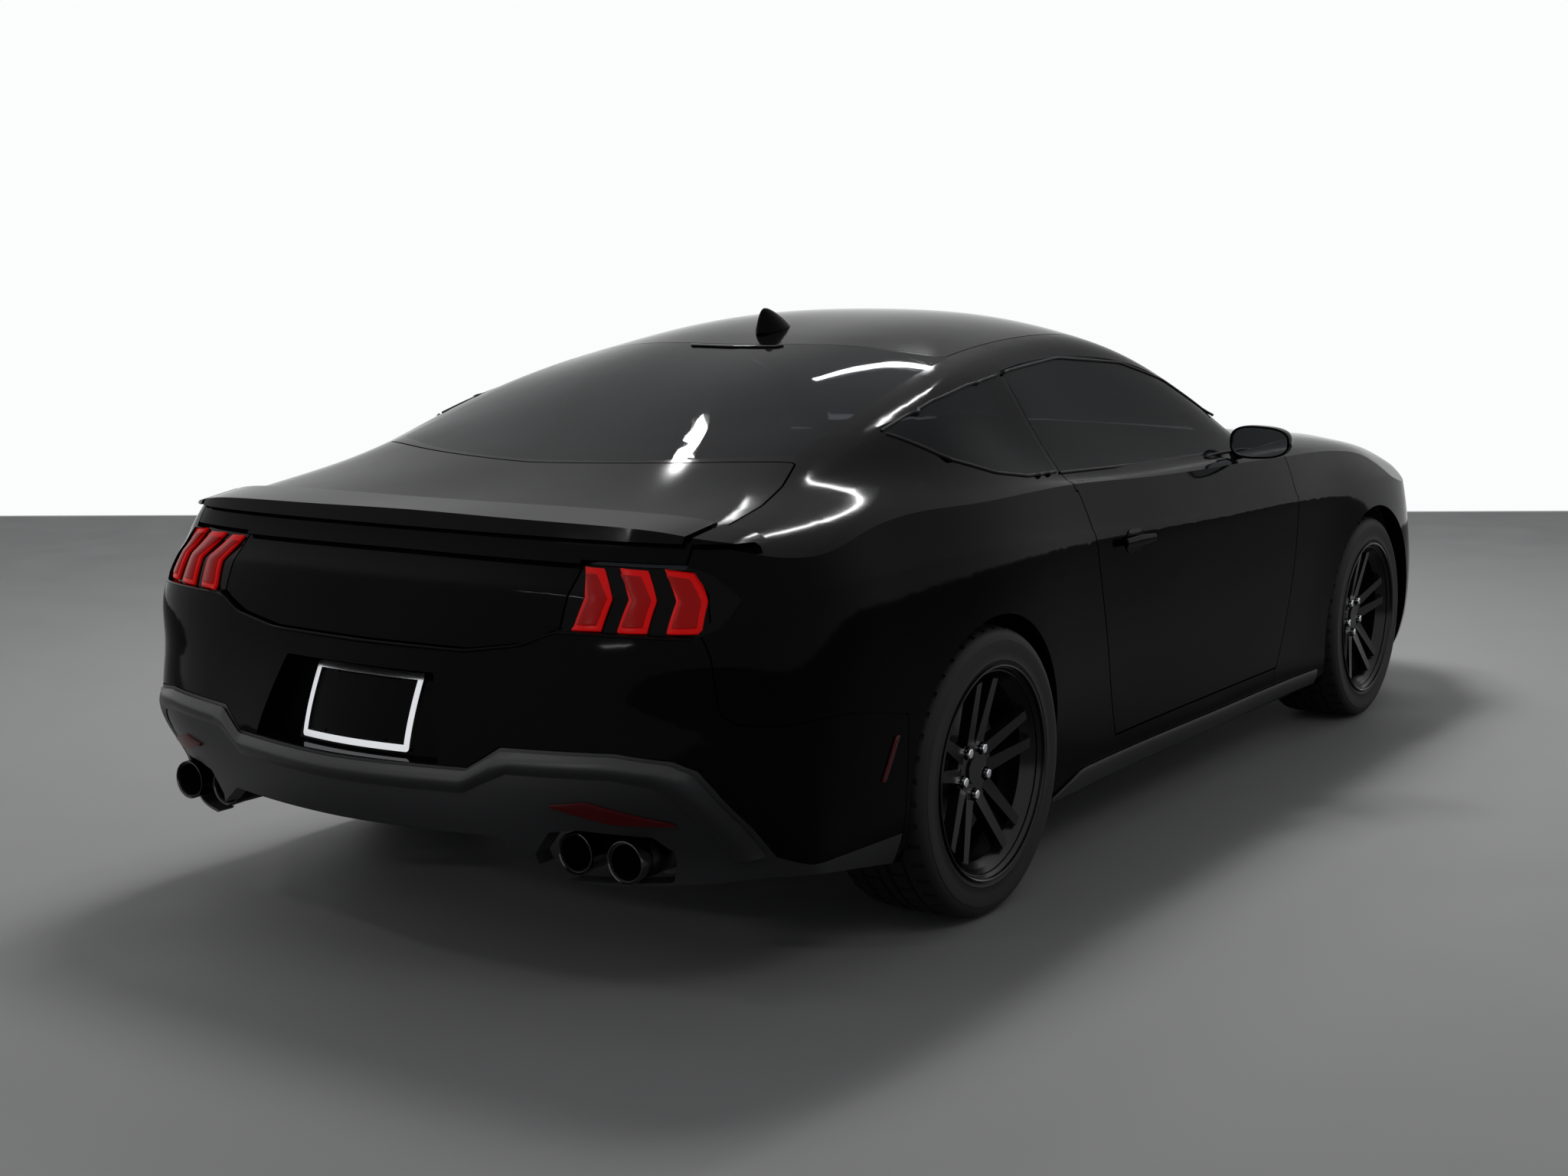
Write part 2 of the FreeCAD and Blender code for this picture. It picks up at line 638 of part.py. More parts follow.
def mirrored_rear(outline):
    """Closes a half outline seen from behind over the centre line."""
    def flip(point):
        return [flip(point[0])] if isinstance(point, list) else (-point[0], point[1])
    return outline + [flip(point) for point in outline[-2:0:-1]]


def outline_wire(outline, place):
    """Closed wire of straight runs and arcs."""
    points = outline + outline[:1]
    edges = []
    index = 0
    while index < len(points) - 1:
        start = place(*points[index])
        if isinstance(points[index + 1], list):
            middle = place(*points[index + 1][0])
            end = place(*points[index + 2])
            edges.append(Part.Arc(start, middle, end).toShape())
            index += 2
        else:
            edges.append(Part.makeLine(start, place(*points[index + 1])))
            index += 1
    return Part.Wire(edges)


def prism(outline, place, near, far, grow=0, corner=None):
    """Solid that an outline sweeps across the car between two places."""
    axis = {place_side: vec(0, 1, 0), place_plan: vec(0, 0, 1), place_rear: vec(1, 0, 0)}[place]
    face = Part.Face(outline_wire(outline, place))
    if corner is not None:
        slab = rounded(face.extrude(axis), axis, corner)
        face = min(slab.Faces, key=lambda side: side.CenterOfMass.dot(axis))
    if float(grow):
        face = face.makeOffset2D(float(grow))
    face.translate(axis * float(near))
    return face.extrude(axis * (float(far) - float(near)))


def rounded(solid, axis, radius):
    """Rounds the sharp edges that run along an axis."""
    edges = []
    for edge in solid.Edges:
        if edge.Curve.TypeId != "Part::GeomLine":
            continue
        if abs(abs(edge.tangentAt(edge.FirstParameter).dot(axis)) - 1) > 1e-6:
            continue
        first, second = solid.ancestorsOfType(edge, Part.Face)[:2]
        middle = edge.valueAt((edge.FirstParameter + edge.LastParameter) / 2)
        normals = []
        for face in (first, second):
            u, v = face.Surface.parameter(middle)
            normals.append(face.normalAt(u, v))
        if normals[0].getAngle(normals[1]) > math.radians(15):
            edges.append(edge)
    return solid.makeFillet(float(radius), edges) if edges else solid


# Solids of the tree

def feature(label, shape):
    """Keeps a shape as one sub-part."""
    item = doc.addObject("Part::Feature", label)
    item.Shape = shape
    item.Placement = Placement()
    item.Label = label
    parts[label] = item
    return item


def named(label, item):
    item.Label = label
    parts[label] = item
    return item


def bind(item, **formulas):
    for name, term in formulas.items():
        item.setExpression(name.replace("_at_", "."), text(term))


def box(name, x, y, z):
    """Box between bound places."""
    item = doc.addObject("Part::Box", name)
    bind(item, Length=x[1] - x[0], Width=y[1] - y[0], Height=z[1] - z[0])
    bind(item, Placement_at_Base_at_x=x[0], Placement_at_Base_at_y=y[0], Placement_at_Base_at_z=z[0])
    return item


def bar(name, start, axis, radius, length):
    """Round bar from a bound place along X, Y or Z."""
    item = doc.addObject("Part::Cylinder", name)
    item.Placement.Rotation = Rotation(Vector(0, 0, 1), axis)
    bind(item, Radius=radius, Height=length)
    bind(item, Placement_at_Base_at_x=start[0], Placement_at_Base_at_y=start[1],
         Placement_at_Base_at_z=start[2])
    return item


def fuse(name, items):
    item = doc.addObject("Part::MultiFuse", name)
    item.Shapes = items
    return item


def cut(name, base, tools):
    tool = tools[0] if len(tools) == 1 else fuse(name + "Tool", tools)
    item = doc.addObject("Part::Cut", name)
    item.Base = base
    item.Tool = tool
    return item


def inside(name, base, space):
    item = doc.addObject("Part::Common", name)
    item.Base = base
    item.Tool = space
    return item


def space(name, shape):
    """A shape that only limits others."""
    item = doc.addObject("Part::Feature", name)
    item.Shape = shape
    return item


def twin(shape):
    """The same shape on the other side of the car."""
    return shape.mirror(Vector(0, 0, 0), Vector(0, 1, 0))


def biggest(shape):
    return max(shape.Solids, key=lambda solid: solid.Volume)


parts = {}
gap = size("panel_gap")
seam = size("seam")
seat = size("seat")
past = size("overrun")
corner = size("corner_radius")
cover_wall = size("cover_wall")
far_side = half_width + past
high = roof + past
nose = half_length + past
tail = -half_length - past


def side_cut(outline, grow=0, near=None):
    return prism(outline, place_side, near or size("door_inner"), far_side, grow, corner)


def plan_cut(outline, grow=0, near=0):
    return prism(mirrored(outline), place_plan, near, high, grow, corner)


def rear_cut(outline, near, far, grow=0):
    return prism(outline, place_rear, near, far, grow, corner)


def seamed(shape, cutter, *options):
    """Cuts a fixed panel back from its neighbour, with an open seam near the surface."""
    deep = hollow(size("seam_depth"), size("seam_depth"))
    shape = shape.cut(cutter(*options, grow=seat))
    return shape.cut(cutter(*options, grow=seam).cut(deep))


left_half = Part.makeBox(
    float(4 * half_length), float(2 * half_width), float(2 * roof), vec(-2 * half_length, 0, -roof)
)


def wheel_opening(axle, arch, inner):
    """Arch through the skin, and the wider well behind its lip."""
    def round_hole(radius, near, far):
        return Part.makeCylinder(
            float(radius), float(far - near), vec(axle, near, axle_height), Vector(0, 1, 0)
        )
    well = round_hole(arch + size("lip_width"), inner, far_side)
    well = well.common(side_solid(size("lip_wall")))
    return round_hole(arch, inner, far_side).fuse(well)


front_opening = wheel_opening(front_axle, size("front_arch"), size("front_well_inner"))
rear_opening = wheel_opening(rear_axle, size("rear_arch"), size("rear_well_inner"))

# Hinge tongues that turn in round pockets of the structure

def tongue(place, axis, turn, sweep, reach, depth, pocket):
    """Curved tongue about a hinge line, from a turn away from the rear, or the pocket for it."""
    room = gap if pocket else 0
    extra = math.degrees(float(room) / float(reach))
    way = Rotation(axis, turn - extra).multVec(Vector(-1, 0, 0))
    low = place - axis * float(room)
    far = low + axis * float(size("hinge_width") + 2 * room)
    inner = way * float(reach - depth - room)
    outer = way * float(reach + seat if pocket else reach)
    corners = [low + inner, low + outer, far + outer, far + inner, low + inner]
    return Part.Face(Part.makePolygon(corners)).revolve(low, axis, sweep + 2 * extra)


def door_tongues(pocket=False):
    tongues = []
    for height_share in door_hinge_height_shares:
        place = vec(along(door_hinge_shares[0]), half_width * door_hinge_shares[1],
                    roof * height_share)
        tongues.append(tongue(
            place, Vector(0, 0, 1), 35, 57, size("door_hinge_reach"), size("door_hinge_depth"),
            pocket,
        ))
    return tongues


def hood_tongue(pocket=False):
    place = vec(along(hood_hinge_shares[0]), half_width * hood_hinge_shares[1],
                roof * hood_hinge_shares[2])
    return tongue(place, Vector(0, 1, 0), 205, 25, size("hood_hinge_reach"),
                  size("hood_hinge_depth"), pocket)


def lid_tongue(pocket=False):
    place = vec(along(lid_hinge_shares[0]), half_width * lid_hinge_shares[1],
                roof * lid_hinge_shares[2])
    return tongue(place, Vector(0, -1, 0), 25, 35, size("lid_hinge_reach"),
                  size("lid_hinge_depth"), pocket)


# Hood
fender_wall = size("fender_wall")
hood = skin(plan_cut(hood_shares, near=axle_height), fender_wall, cover_wall)
hood = hood.fuse([hood_tongue(), twin(hood_tongue())]).removeSplitter()
feature("hood", biggest(hood))

# Windshield and rear glass
glass_wall = size("glass_wall")
windshield = plan_cut(windshield_shares, near=axle_height)
feature("windshield", skin(windshield, glass_wall, glass_wall))
rear_window = plan_cut(rear_glass_shares, near=axle_height)
feature("rear_window", skin(rear_window, glass_wall, glass_wall))

# Decklid, with its rear face between the lamps, and the blade along its edge
lid_ledge = roof * lid_ledge_share


def lid_cut(grow=0, drop=0):
    top = prism(mirrored(lid_top_shares), place_plan, lid_ledge - grow - drop, high, grow, corner)
    face = rear_cut(mirrored_rear(lid_face_shares), tail, rear_axle, grow)
    return top.fuse(face)


decklid = skin(lid_cut(), cover_wall, cover_wall)
decklid = decklid.fuse([lid_tongue(), twin(lid_tongue())]).removeSplitter()
tail_recess = rear_cut(mirrored_rear(panel_recess_shares), tail, rear_axle)
tail_recess = tail_recess.cut(side_solid(size("panel_recess")))
feature("decklid", biggest(decklid.cut(tail_recess)))

blade_form = hollow(-size("blade_overhang"), -size("blade_height"))
blade_form = blade_form.cut(hollow(-seat, -seat))
blade_base = roof * blade_base_share
blade = prism(mirrored(spoiler_shares), place_plan, blade_base, high, 0, None)
feature("rear_spoiler", blade_form.common(blade))
tip = prism(spoiler_tip_shares, place_plan, blade_base, high, 0, None)
tip_form = hollow(-size("blade_overhang"), -size("blade_height")).cut(hollow(0, 0))
tip_form = tip_form.common(tip)

# Doors: an outer skin, and an inner part set back at the shut face
door_wall = size("door_wall")
pillar_wall = size("pillar_wall")
door = skin(side_cut(door_shares), size("door_skin"), size("door_skin"))
door_back = skin(side_cut(door_shares, -size("door_step")), door_wall, pillar_wall)
door = door.fuse([door_back] + door_tongues()).removeSplitter()
door_pane = skin(side_cut(door_glass_shares), glass_wall, glass_wall)
door_pane = door_pane.cut(side_cut(door_shares, seat))
quarter_pane = skin(side_cut(quarter_glass_shares), glass_wall, glass_wall)

# Mirror: a rounded housing on a foot that stands on the door
mirror_back = along(mirror_share)
housing = Part.makeBox(
    float(size("mirror_length")), float(size("mirror_width")), float(size("mirror_height")),
    vec(mirror_back, size("mirror_inner"), size("mirror_base")),
)
housing = housing.makeFillet(float(size("mirror_round")), housing.Edges)
glass_bed = Part.makeBox(
    float(size("mirror_bed")), float(size("mirror_width") - 2 * size("mirror_rim")),
    float(size("mirror_height") - 2 * size("mirror_rim")),
    vec(mirror_back, size("mirror_inner") + size("mirror_rim"),
        size("mirror_base") + size("mirror_rim")),
)
foot = Part.makeBox(
    float(size("foot_length")), float(size("foot_reach")), float(size("foot_height")),
    vec(mirror_back + size("mirror_bed"), size("mirror_inner") + size("mirror_round")
        - size("foot_reach"), size("mirror_base")),
)
mirror = housing.cut(glass_bed).fuse(foot).cut(hollow(-seat, -seat)).removeSplitter()

# Body side: pillars, roof rail, quarter panel and sill round the door opening
body_side = skin(left_half, door_wall, pillar_wall)
body_side = seamed(body_side, plan_cut, roof_shares)
body_side = body_side.cut(plan_cut(windshield_shares, seat))
body_side = body_side.cut(plan_cut(rear_glass_shares, seat))
body_side = body_side.cut(side_cut(door_shares, gap)).cut(side_cut(door_glass_shares, gap))
body_side = body_side.cut(side_cut(quarter_glass_shares, seat))
body_side = seamed(body_side, side_cut, fender_shares)
body_side = seamed(body_side, plan_cut, cowl_shares)
body_side = body_side.cut(plan_cut(hood_shares, gap, axle_height))
body_side = body_side.cut(lid_cut(gap, gap))
body_side = body_side.cut(rear_cut(tail_lamp_shares, tail, along(tail_lamp_share), seat))


def bumper_cut(outline, grow=0):
    return prism(outline, place_side, -far_side, far_side, grow, corner)


tail_edge = bumper_cut(tail_edge_shares)
body_side = seamed(body_side, bumper_cut, rear_bumper_shares)
body_side = biggest(body_side.cut([rear_opening, tail_edge])).fuse(tip_form).removeSplitter()
body_side = biggest(body_side)

# Front fender
fender = skin(side_cut(fender_shares, near=size("front_well_inner")), fender_wall, cover_wall)
fender = fender.cut(side_cut(door_shares, gap)).cut(side_cut(door_glass_shares, gap))
fender = fender.cut(plan_cut(hood_shares, gap, axle_height))
fender = fender.cut(plan_cut(windshield_shares, seat))
fender = seamed(fender, plan_cut, cowl_shares)
lamp_near = along(headlamp_share)
fender = fender.cut(rear_cut(headlamp_shares, lamp_near, nose, seat))
fender = biggest(fender.cut([front_opening] + door_tongues(True)))

for side_name, turn in (("left", lambda shape: shape), ("right", twin)):
    feature(f"body_side_{side_name}", turn(body_side))
    feature(f"door_{side_name}", turn(door))
    feature(f"door_glass_{side_name}", turn(door_pane))
    feature(f"mirror_{side_name}", turn(mirror))


def pair(shape):
    return Part.makeCompound([shape, twin(shape)])


feature("front_fenders", pair(fender))
feature("quarter_windows", pair(quarter_pane))
feature("roof_panel", skin(plan_cut(roof_shares, near=axle_height), door_wall, pillar_wall))

# Cowl between the windshield and the hood
cowl = skin(plan_cut(cowl_shares, near=axle_height), fender_wall, cover_wall)
cowl = cowl.cut(plan_cut(hood_shares, gap)).cut(plan_cut(windshield_shares, seat))
cowl = cowl.cut(side_cut(door_glass_shares, gap)).cut(twin(side_cut(door_glass_shares, gap)))
cowl = biggest(cowl)

# Lamps
headlamp = skin(rear_cut(headlamp_shares, lamp_near, nose), size("lamp_wall"), pillar_wall)
headlamp = biggest(headlamp.cut(plan_cut(hood_shares, gap, axle_height)))
feature("headlamps", pair(headlamp))
tail_lamp_near = along(tail_lamp_share)
tail_lamp = rear_cut(tail_lamp_shares, tail, tail_lamp_near)
tail_lamp = skin(tail_lamp, size("tail_lamp_wall"), pillar_wall)
tail_lamp = biggest(tail_lamp.cut([lid_cut(gap, gap), tail_recess]))
feature("tail_lamps", pair(tail_lamp))

# Front bumper cover with its two grille openings
bumper_wall = size("bumper_wall")
nose_box = Part.makeBox(
    float(half_length), float(2 * far_side), float(high),
    vec(along(bumper_start_share), -far_side, 0),
)
front_bumper = skin(nose_box, bumper_wall, cover_wall)
for turned in (lambda shape: shape, twin):
    def fender_cut(grow=0):
        return turned(side_cut(fender_shares, grow, size("front_well_inner")))
    front_bumper = seamed(front_bumper, fender_cut)
    front_bumper = front_bumper.cut(turned(rear_cut(headlamp_shares, lamp_near, nose, seat)))
    front_bumper = front_bumper.cut(turned(front_opening))
front_bumper = front_bumper.cut(plan_cut(hood_shares, gap, axle_height))
for outline in (upper_grille_shares, lower_grille_shares):
    front_bumper = front_bumper.cut(rear_cut(mirrored_rear(outline), front_axle, nose))
feature("front_bumper", biggest(front_bumper))


def grille(outline):
    """Recessed frame filled with a grid of openings."""
    recess_place = size("grille_recess")
    edge = rear_cut(mirrored_rear(outline), front_axle, nose, -seat)
    inner = rear_cut(mirrored_rear(outline), front_axle, nose, -seat - size("grille_rim"))
    panel = edge.common(side_solid(recess_place))
    panel = biggest(panel.cut(side_solid(recess_place + size("grille_depth"))))
    bounds = inner.BoundBox
    bar_width = float(size("grille_bar"))
    rows = math.ceil(bounds.ZLength / float(size("grille_pitch")))
    columns = math.ceil(bounds.YLength / float(2 * size("grille_pitch")))
    height = bounds.ZLength / rows
    width = bounds.YLength / columns
    holes = []
    for row_index in range(rows):
        for column in range(columns):
            corner_place = Vector(
                bounds.XMin, bounds.YMin + column * width + bar_width / 2,
                bounds.ZMin + row_index * height + bar_width / 2,
            )
            holes.append(Part.makeBox(
                bounds.XLength, width - bar_width, height - bar_width, corner_place
            ))
    return panel.cut(Part.makeCompound(holes).common(inner))


feature("grille", Part.makeCompound([grille(upper_grille_shares), grille(lower_grille_shares)]))

# Rear bumper cover with the plate recess, and the dark lower band with the tailpipe openings
rear_bumper = skin(bumper_cut(rear_bumper_shares), bumper_wall, cover_wall)
tail_notch = rear_cut(mirrored_rear(tail_notch_shares), tail, rear_axle)
rear_bumper = rear_bumper.cut([tail_edge, tail_notch])
tip_opening = rear_cut(tip_opening_shares, tail, rear_axle)
lower_band = rear_bumper.common(rear_cut(mirrored_rear(diffuser_shares), tail, rear_axle))
lower_band = lower_band.cut(tip_opening).cut(twin(tip_opening))
lower_band = lower_band.cut(rear_opening).cut(twin(rear_opening))
feature("rear_diffuser", biggest(lower_band))


def band_cut(grow=0):
    return rear_cut(mirrored_rear(diffuser_shares), tail, rear_axle, grow)


rear_bumper = seamed(rear_bumper, band_cut)
rear_bumper = rear_bumper.cut(rear_cut(mirrored_rear(lid_face_shares), tail, rear_axle, gap))
rear_bumper = rear_bumper.cut(lid_cut(gap))
for turned in (lambda shape: shape, twin):
    rear_bumper = rear_bumper.cut(
        turned(rear_cut(tail_lamp_shares, tail, tail_lamp_near, seat))
    )
    rear_bumper = rear_bumper.cut(turned(rear_opening))
pocket_wall = size("pocket_wall")
pocket = rear_cut(mirrored_rear(plate_recess_shares), tail, rear_axle, size("pocket_rim"))
pocket = pocket.common(side_solid(bumper_wall - pocket_wall))
pocket = pocket.cut(side_solid(size("plate_recess") + pocket_wall))
rear_bumper = rear_bumper.fuse(pocket)
recess = rear_cut(mirrored_rear(plate_recess_shares), tail, rear_axle)
recess = recess.cut(side_solid(size("plate_recess")))
plate_holes = [
    Part.makeCylinder(
        float(size("plate_hole_radius")), float(half_length),
        vec(tail, side * size("plate_hole_width") / 2,
            roof * plate_height_share + level * size("plate_hole_height") / 2),
        Vector(1, 0, 0),
    )
    for side in (-1, 1) for level in (-1, 1)
]
rear_bumper = rear_bumper.cut([recess, band_cut(seat)] + plate_holes)
feature("rear_bumper", biggest(rear_bumper.removeSplitter()))


# Plate frame, set back in the recess
plate = prism(mirrored_rear(plate_shares), place_rear, tail, rear_axle, 0, corner)
plate = plate.common(side_solid(size("plate_recess") - size("plate_depth")))
plate = plate.cut(side_solid(size("plate_recess") - seat))
plate = plate.cut(rear_cut(mirrored_rear(plate_shares), tail, rear_axle, -size("frame_border")))
feature("plate_frame", biggest(plate))


def block(x, y, z):
    """Plain block between shares of the car."""
    low = vec(along(x[0]), half_width * y[0], roof * z[0])
    top = vec(along(x[1]), half_width * y[1], roof * z[1])
    return Part.makeBox(*(top - low), low)


def tube(axle, outer, inner, near, far):
    """Ring round an axle line, across the car."""
    def rod(radius):
        return Part.makeCylinder(
            float(radius), float(far - near), vec(axle, near, axle_height), Vector(0, 1, 0)
        )
    return rod(outer).cut(rod(inner))


def both(shape):
    return [shape, twin(shape)]


# Floor: pan, tunnel, seat pan, bulkhead, parcel shelf, trunk floor and wheelhouses
within_sill = side_solid(door_wall + seat)
sheet_wall = size("sheet_wall")
jack_pads = [
    block(x, (0.658, 0.721), (0.1153, 0.1196))
    for x in ((0.652, 0.674), (0.266, 0.288))
]
tunnel = block((0.226, 0.742), (-0.157, 0.157), (0.1369, 0.3026))
tunnel_space = block((0.226, 0.742), (-0.136, 0.136), (0.072, 0.2882))
pan = block((0.226, 0.742), (-1, 1), (0.1189, 0.1369)).common(within_sill)
rise = block((0.226, 0.233), (-0.662, 0.662), (0.1189, 0.2305))
seat_pan = block((0.049, 0.233), (-0.662, 0.662), (0.2161, 0.2305))
bulkhead = block((0.049, 0.057), (-0.662, 0.662), (0.2161, 0.6772))
trunk_floor = block((-0.865, 0.057), (-0.662, 0.662), (0.3386, 0.353))
tail_panel = block((-0.865, -0.848), (-0.662, 0.662), (0.317, 0.4719))
within_bumper = side_solid(size("bumper_wall") + seat)
trunk_floor = trunk_floor.common(within_bumper)
tail_panel = tail_panel.common(within_bumper)
shelf = block((-0.361, 0.057), (-1, 1), (0.6772, 0.6916))
shelf = shelf.common(hollow(door_wall + seat, pillar_wall + seat))
shelf = shelf.cut([lid_tongue(True), twin(lid_tongue(True))])
well = size("rear_arch") + size("lip_width")
well_inner = size("rear_well_inner")
wheelhouse = tube(rear_axle, well + sheet_wall, well, well_inner, half_width)
wheelhouse = wheelhouse.fuse(
    tube(rear_axle, well + sheet_wall, size("axle_hole"), well_inner - sheet_wall, well_inner)
)
above = block((-0.995, 0.461), (0, 1), (0.1441, 1))
wheelhouse = wheelhouse.common(within_sill).common(above)
floor_pieces = [rise, seat_pan, bulkhead, trunk_floor, tail_panel, shelf] + both(wheelhouse)
floor_pieces += jack_pads + [twin(pad) for pad in jack_pads]
floor = pan.fuse(tunnel).cut(tunnel_space).fuse(floor_pieces)
floor = floor.cut(block((0.204, 0.241), (-0.136, 0.136), (0.072, 0.2161)))
feature("floor_pan", biggest(floor.removeSplitter()))

# Front structure: firewall, aprons, shelves, rails, beam, radiator support and liners
within_fender = hollow(fender_wall + seat, cover_wall + seat)
apron_inner = size("front_well_inner") - sheet_wall - size("apron_wall")
apron_outer = size("front_well_inner") - sheet_wall
firewall = block((0.742, 0.752), (-1, 1), (0.1189, 1)).common(within_fender)
firewall = firewall.common(side_solid(fender_wall + seat))
apron = Part.makeBox(
    float(along(1.59) - along(0.752)), float(apron_outer - apron_inner),
    float(roof * 0.3963), vec(along(0.752), apron_inner, roof * 0.2161),
)
under_hood = hollow(0, cover_wall + gap)
apron = apron.common(under_hood)
horn = Part.makeBox(
    float(along(1.888) - along(1.462)), float(apron_outer - apron_inner),
    float(roof * 0.0937), vec(along(1.462), apron_inner, roof * 0.3098),
)
horn = horn.common(side_solid(bumper_wall + size("beam_depth") - seat))
ledge = block((0.752, 1.59), (0.465, 1), (0.5519, 0.5692)).common(within_fender)
rail = block((0.752, 1.356), (0.756, 0.781), (0.562, 1)).common(within_fender)
liner_radius = size("front_arch") + size("lip_width") + size("liner_gap")
liner = tube(front_axle, liner_radius + sheet_wall, liner_radius, apron_outer, half_width)
liner = liner.common(block((0.792, 1.611), (0, 1), (0.2161, 1))).common(within_fender)
beam = block((1.526, 2), (-0.648, 0.648), (0.3098, 0.4035))
beam = beam.common(side_solid(bumper_wall + seat))
beam = beam.cut(side_solid(bumper_wall + size("beam_depth")))
radiator = block((1.526, 1.579), (-0.397, 0.397), (0.1801, 0.5043))
tie = block((1.526, 1.558), (-0.47, 0.47), (0.4971, 0.5259))
front_pieces = both(apron) + both(horn) + both(ledge) + both(rail) + both(liner)
firewall = firewall.cut(plan_cut(hood_shares, gap, axle_height).cut(under_hood))
pockets = door_tongues(True) + [hood_tongue(True)]
firewall = firewall.cut(pockets + [twin(pocket) for pocket in pockets])
front = firewall.fuse(front_pieces + [beam, radiator, tie])
front = front.cut(tunnel_space).cut(block((0.719, 0.755), (-0.157, 0.157), (0, 0.3028)))
feature("front_structure", biggest(front.fuse(cowl.cut(firewall)).removeSplitter()))


def placed(name, x, y, z):
    """Bound box between shares of the car."""
    return box(
        name, [along(share) for share in x], [half_width * share for share in y],
        [roof * share for share in z],
    )


def across(name, x, y, z):
    """Bound boxes on both sides of the car."""
    left = placed(name + "Left", x, y, z)
    right = placed(name + "Right", x, (-y[1], -y[0]), z)
    return [left, right]


# Engine block
block_body = placed("EngineBody", (0.847, 1.249), (-0.198, 0.198), (0.1873, 0.562))
banks = placed("EngineBanks", (0.862, 1.207), (-0.292, 0.292), (0.3386, 0.5331))
named("engine_block", fuse("EngineBlock", [block_body, banks]))

# Seats
cushions = across("Cushion", (0.406, 0.597), (0.162, 0.611), (0.1945, 0.3242))
rails = across("SeatRail", (0.417, 0.572), (0.198, 0.574), (0.1371, 0.196))
backs = across("Backrest", (0.34, 0.406), (0.172, 0.601), (0.2161, 0.6916))
heads = across("Headrest", (0.314, 0.355), (0.261, 0.512), (0.6772, 0.7997))
named("front_seats", fuse("FrontSeats", cushions + rails + backs + heads))
bench = placed("Bench", (0.075, 0.226), (-0.627, 0.627), (0.2308, 0.3386))
bench_back = placed("BenchBack", (0.057, 0.101), (-0.627, 0.627), (0.2882, 0.6484))
named("rear_seat", fuse("RearSeat", [bench, bench_back]))

# Dashboard
wheel_place = vec(along(0.553), half_width * 0.386, roof * 0.6124)
column_turn = Rotation(Vector(0, 1, 0), 90 + float(size("column_tilt")))
column_way = column_turn.multVec(Vector(0, 0, 1))
panel = placed("DashPanel", (0.616, 0.742), (-0.94, 0.94), (0.4611, 0.6628))
panel = inside("DashSeated", panel, space("DashSpace", side_solid(size("dash_inset"))))
column = Part.makeCylinder(
    float(size("column_radius")), float(size("column_length")),
    wheel_place + column_way * float(size("boss_length") + seat), column_way,
)
named("dashboard", fuse("Dashboard", [panel, space("Column", column)]))

# Steering wheel with its boss against the column
grip = size("steering_grip")
ring_points = []
for index in range(8):
    turn = math.radians(45 * index + 22.5)
    ring_points.append(vec(
        size("steering_radius") + grip * math.cos(turn), 0, grip * math.sin(turn)
    ))
ring_face = Part.Face(Part.makePolygon(ring_points + ring_points[:1]))
rim = space("WheelRim", ring_face.revolve(Vector(0, 0, 0), Vector(0, 0, 1), 360))
boss = doc.addObject("Part::Cylinder", "WheelBoss")
bind(boss, Radius=size("boss_radius"), Height=size("boss_length"))
spoke_bars = []
for index, spoke_turn in enumerate((0, 120, 240)):
    spoke_bar = doc.addObject("Part::Cylinder", f"WheelBar{index}")
    bind(spoke_bar, Radius=size("bar_radius"), Height=size("steering_radius"))
    about = Rotation(Vector(0, 0, 1), spoke_turn) * Rotation(Vector(0, 1, 0), 90)
    spoke_bar.Placement.Rotation = about
    spoke_bars.append(spoke_bar)
steering_wheel = named("steering_wheel", fuse("SteeringWheel", [rim, boss] + spoke_bars))
steering_wheel.Placement = Placement(wheel_place, column_turn)

# Wheels, tyres and brake discs, first at the origin with their outer side to the left


def ring_turned(points):
    """Solid turned about the Y axis from points of (across, radius)."""
    corners = [vec(0, across, radius) for across, radius in points]
    face = Part.Face(Part.makePolygon(corners + corners[:1]))
    return face.revolve(Vector(0, 0, 0), Vector(0, 1, 0), 360)


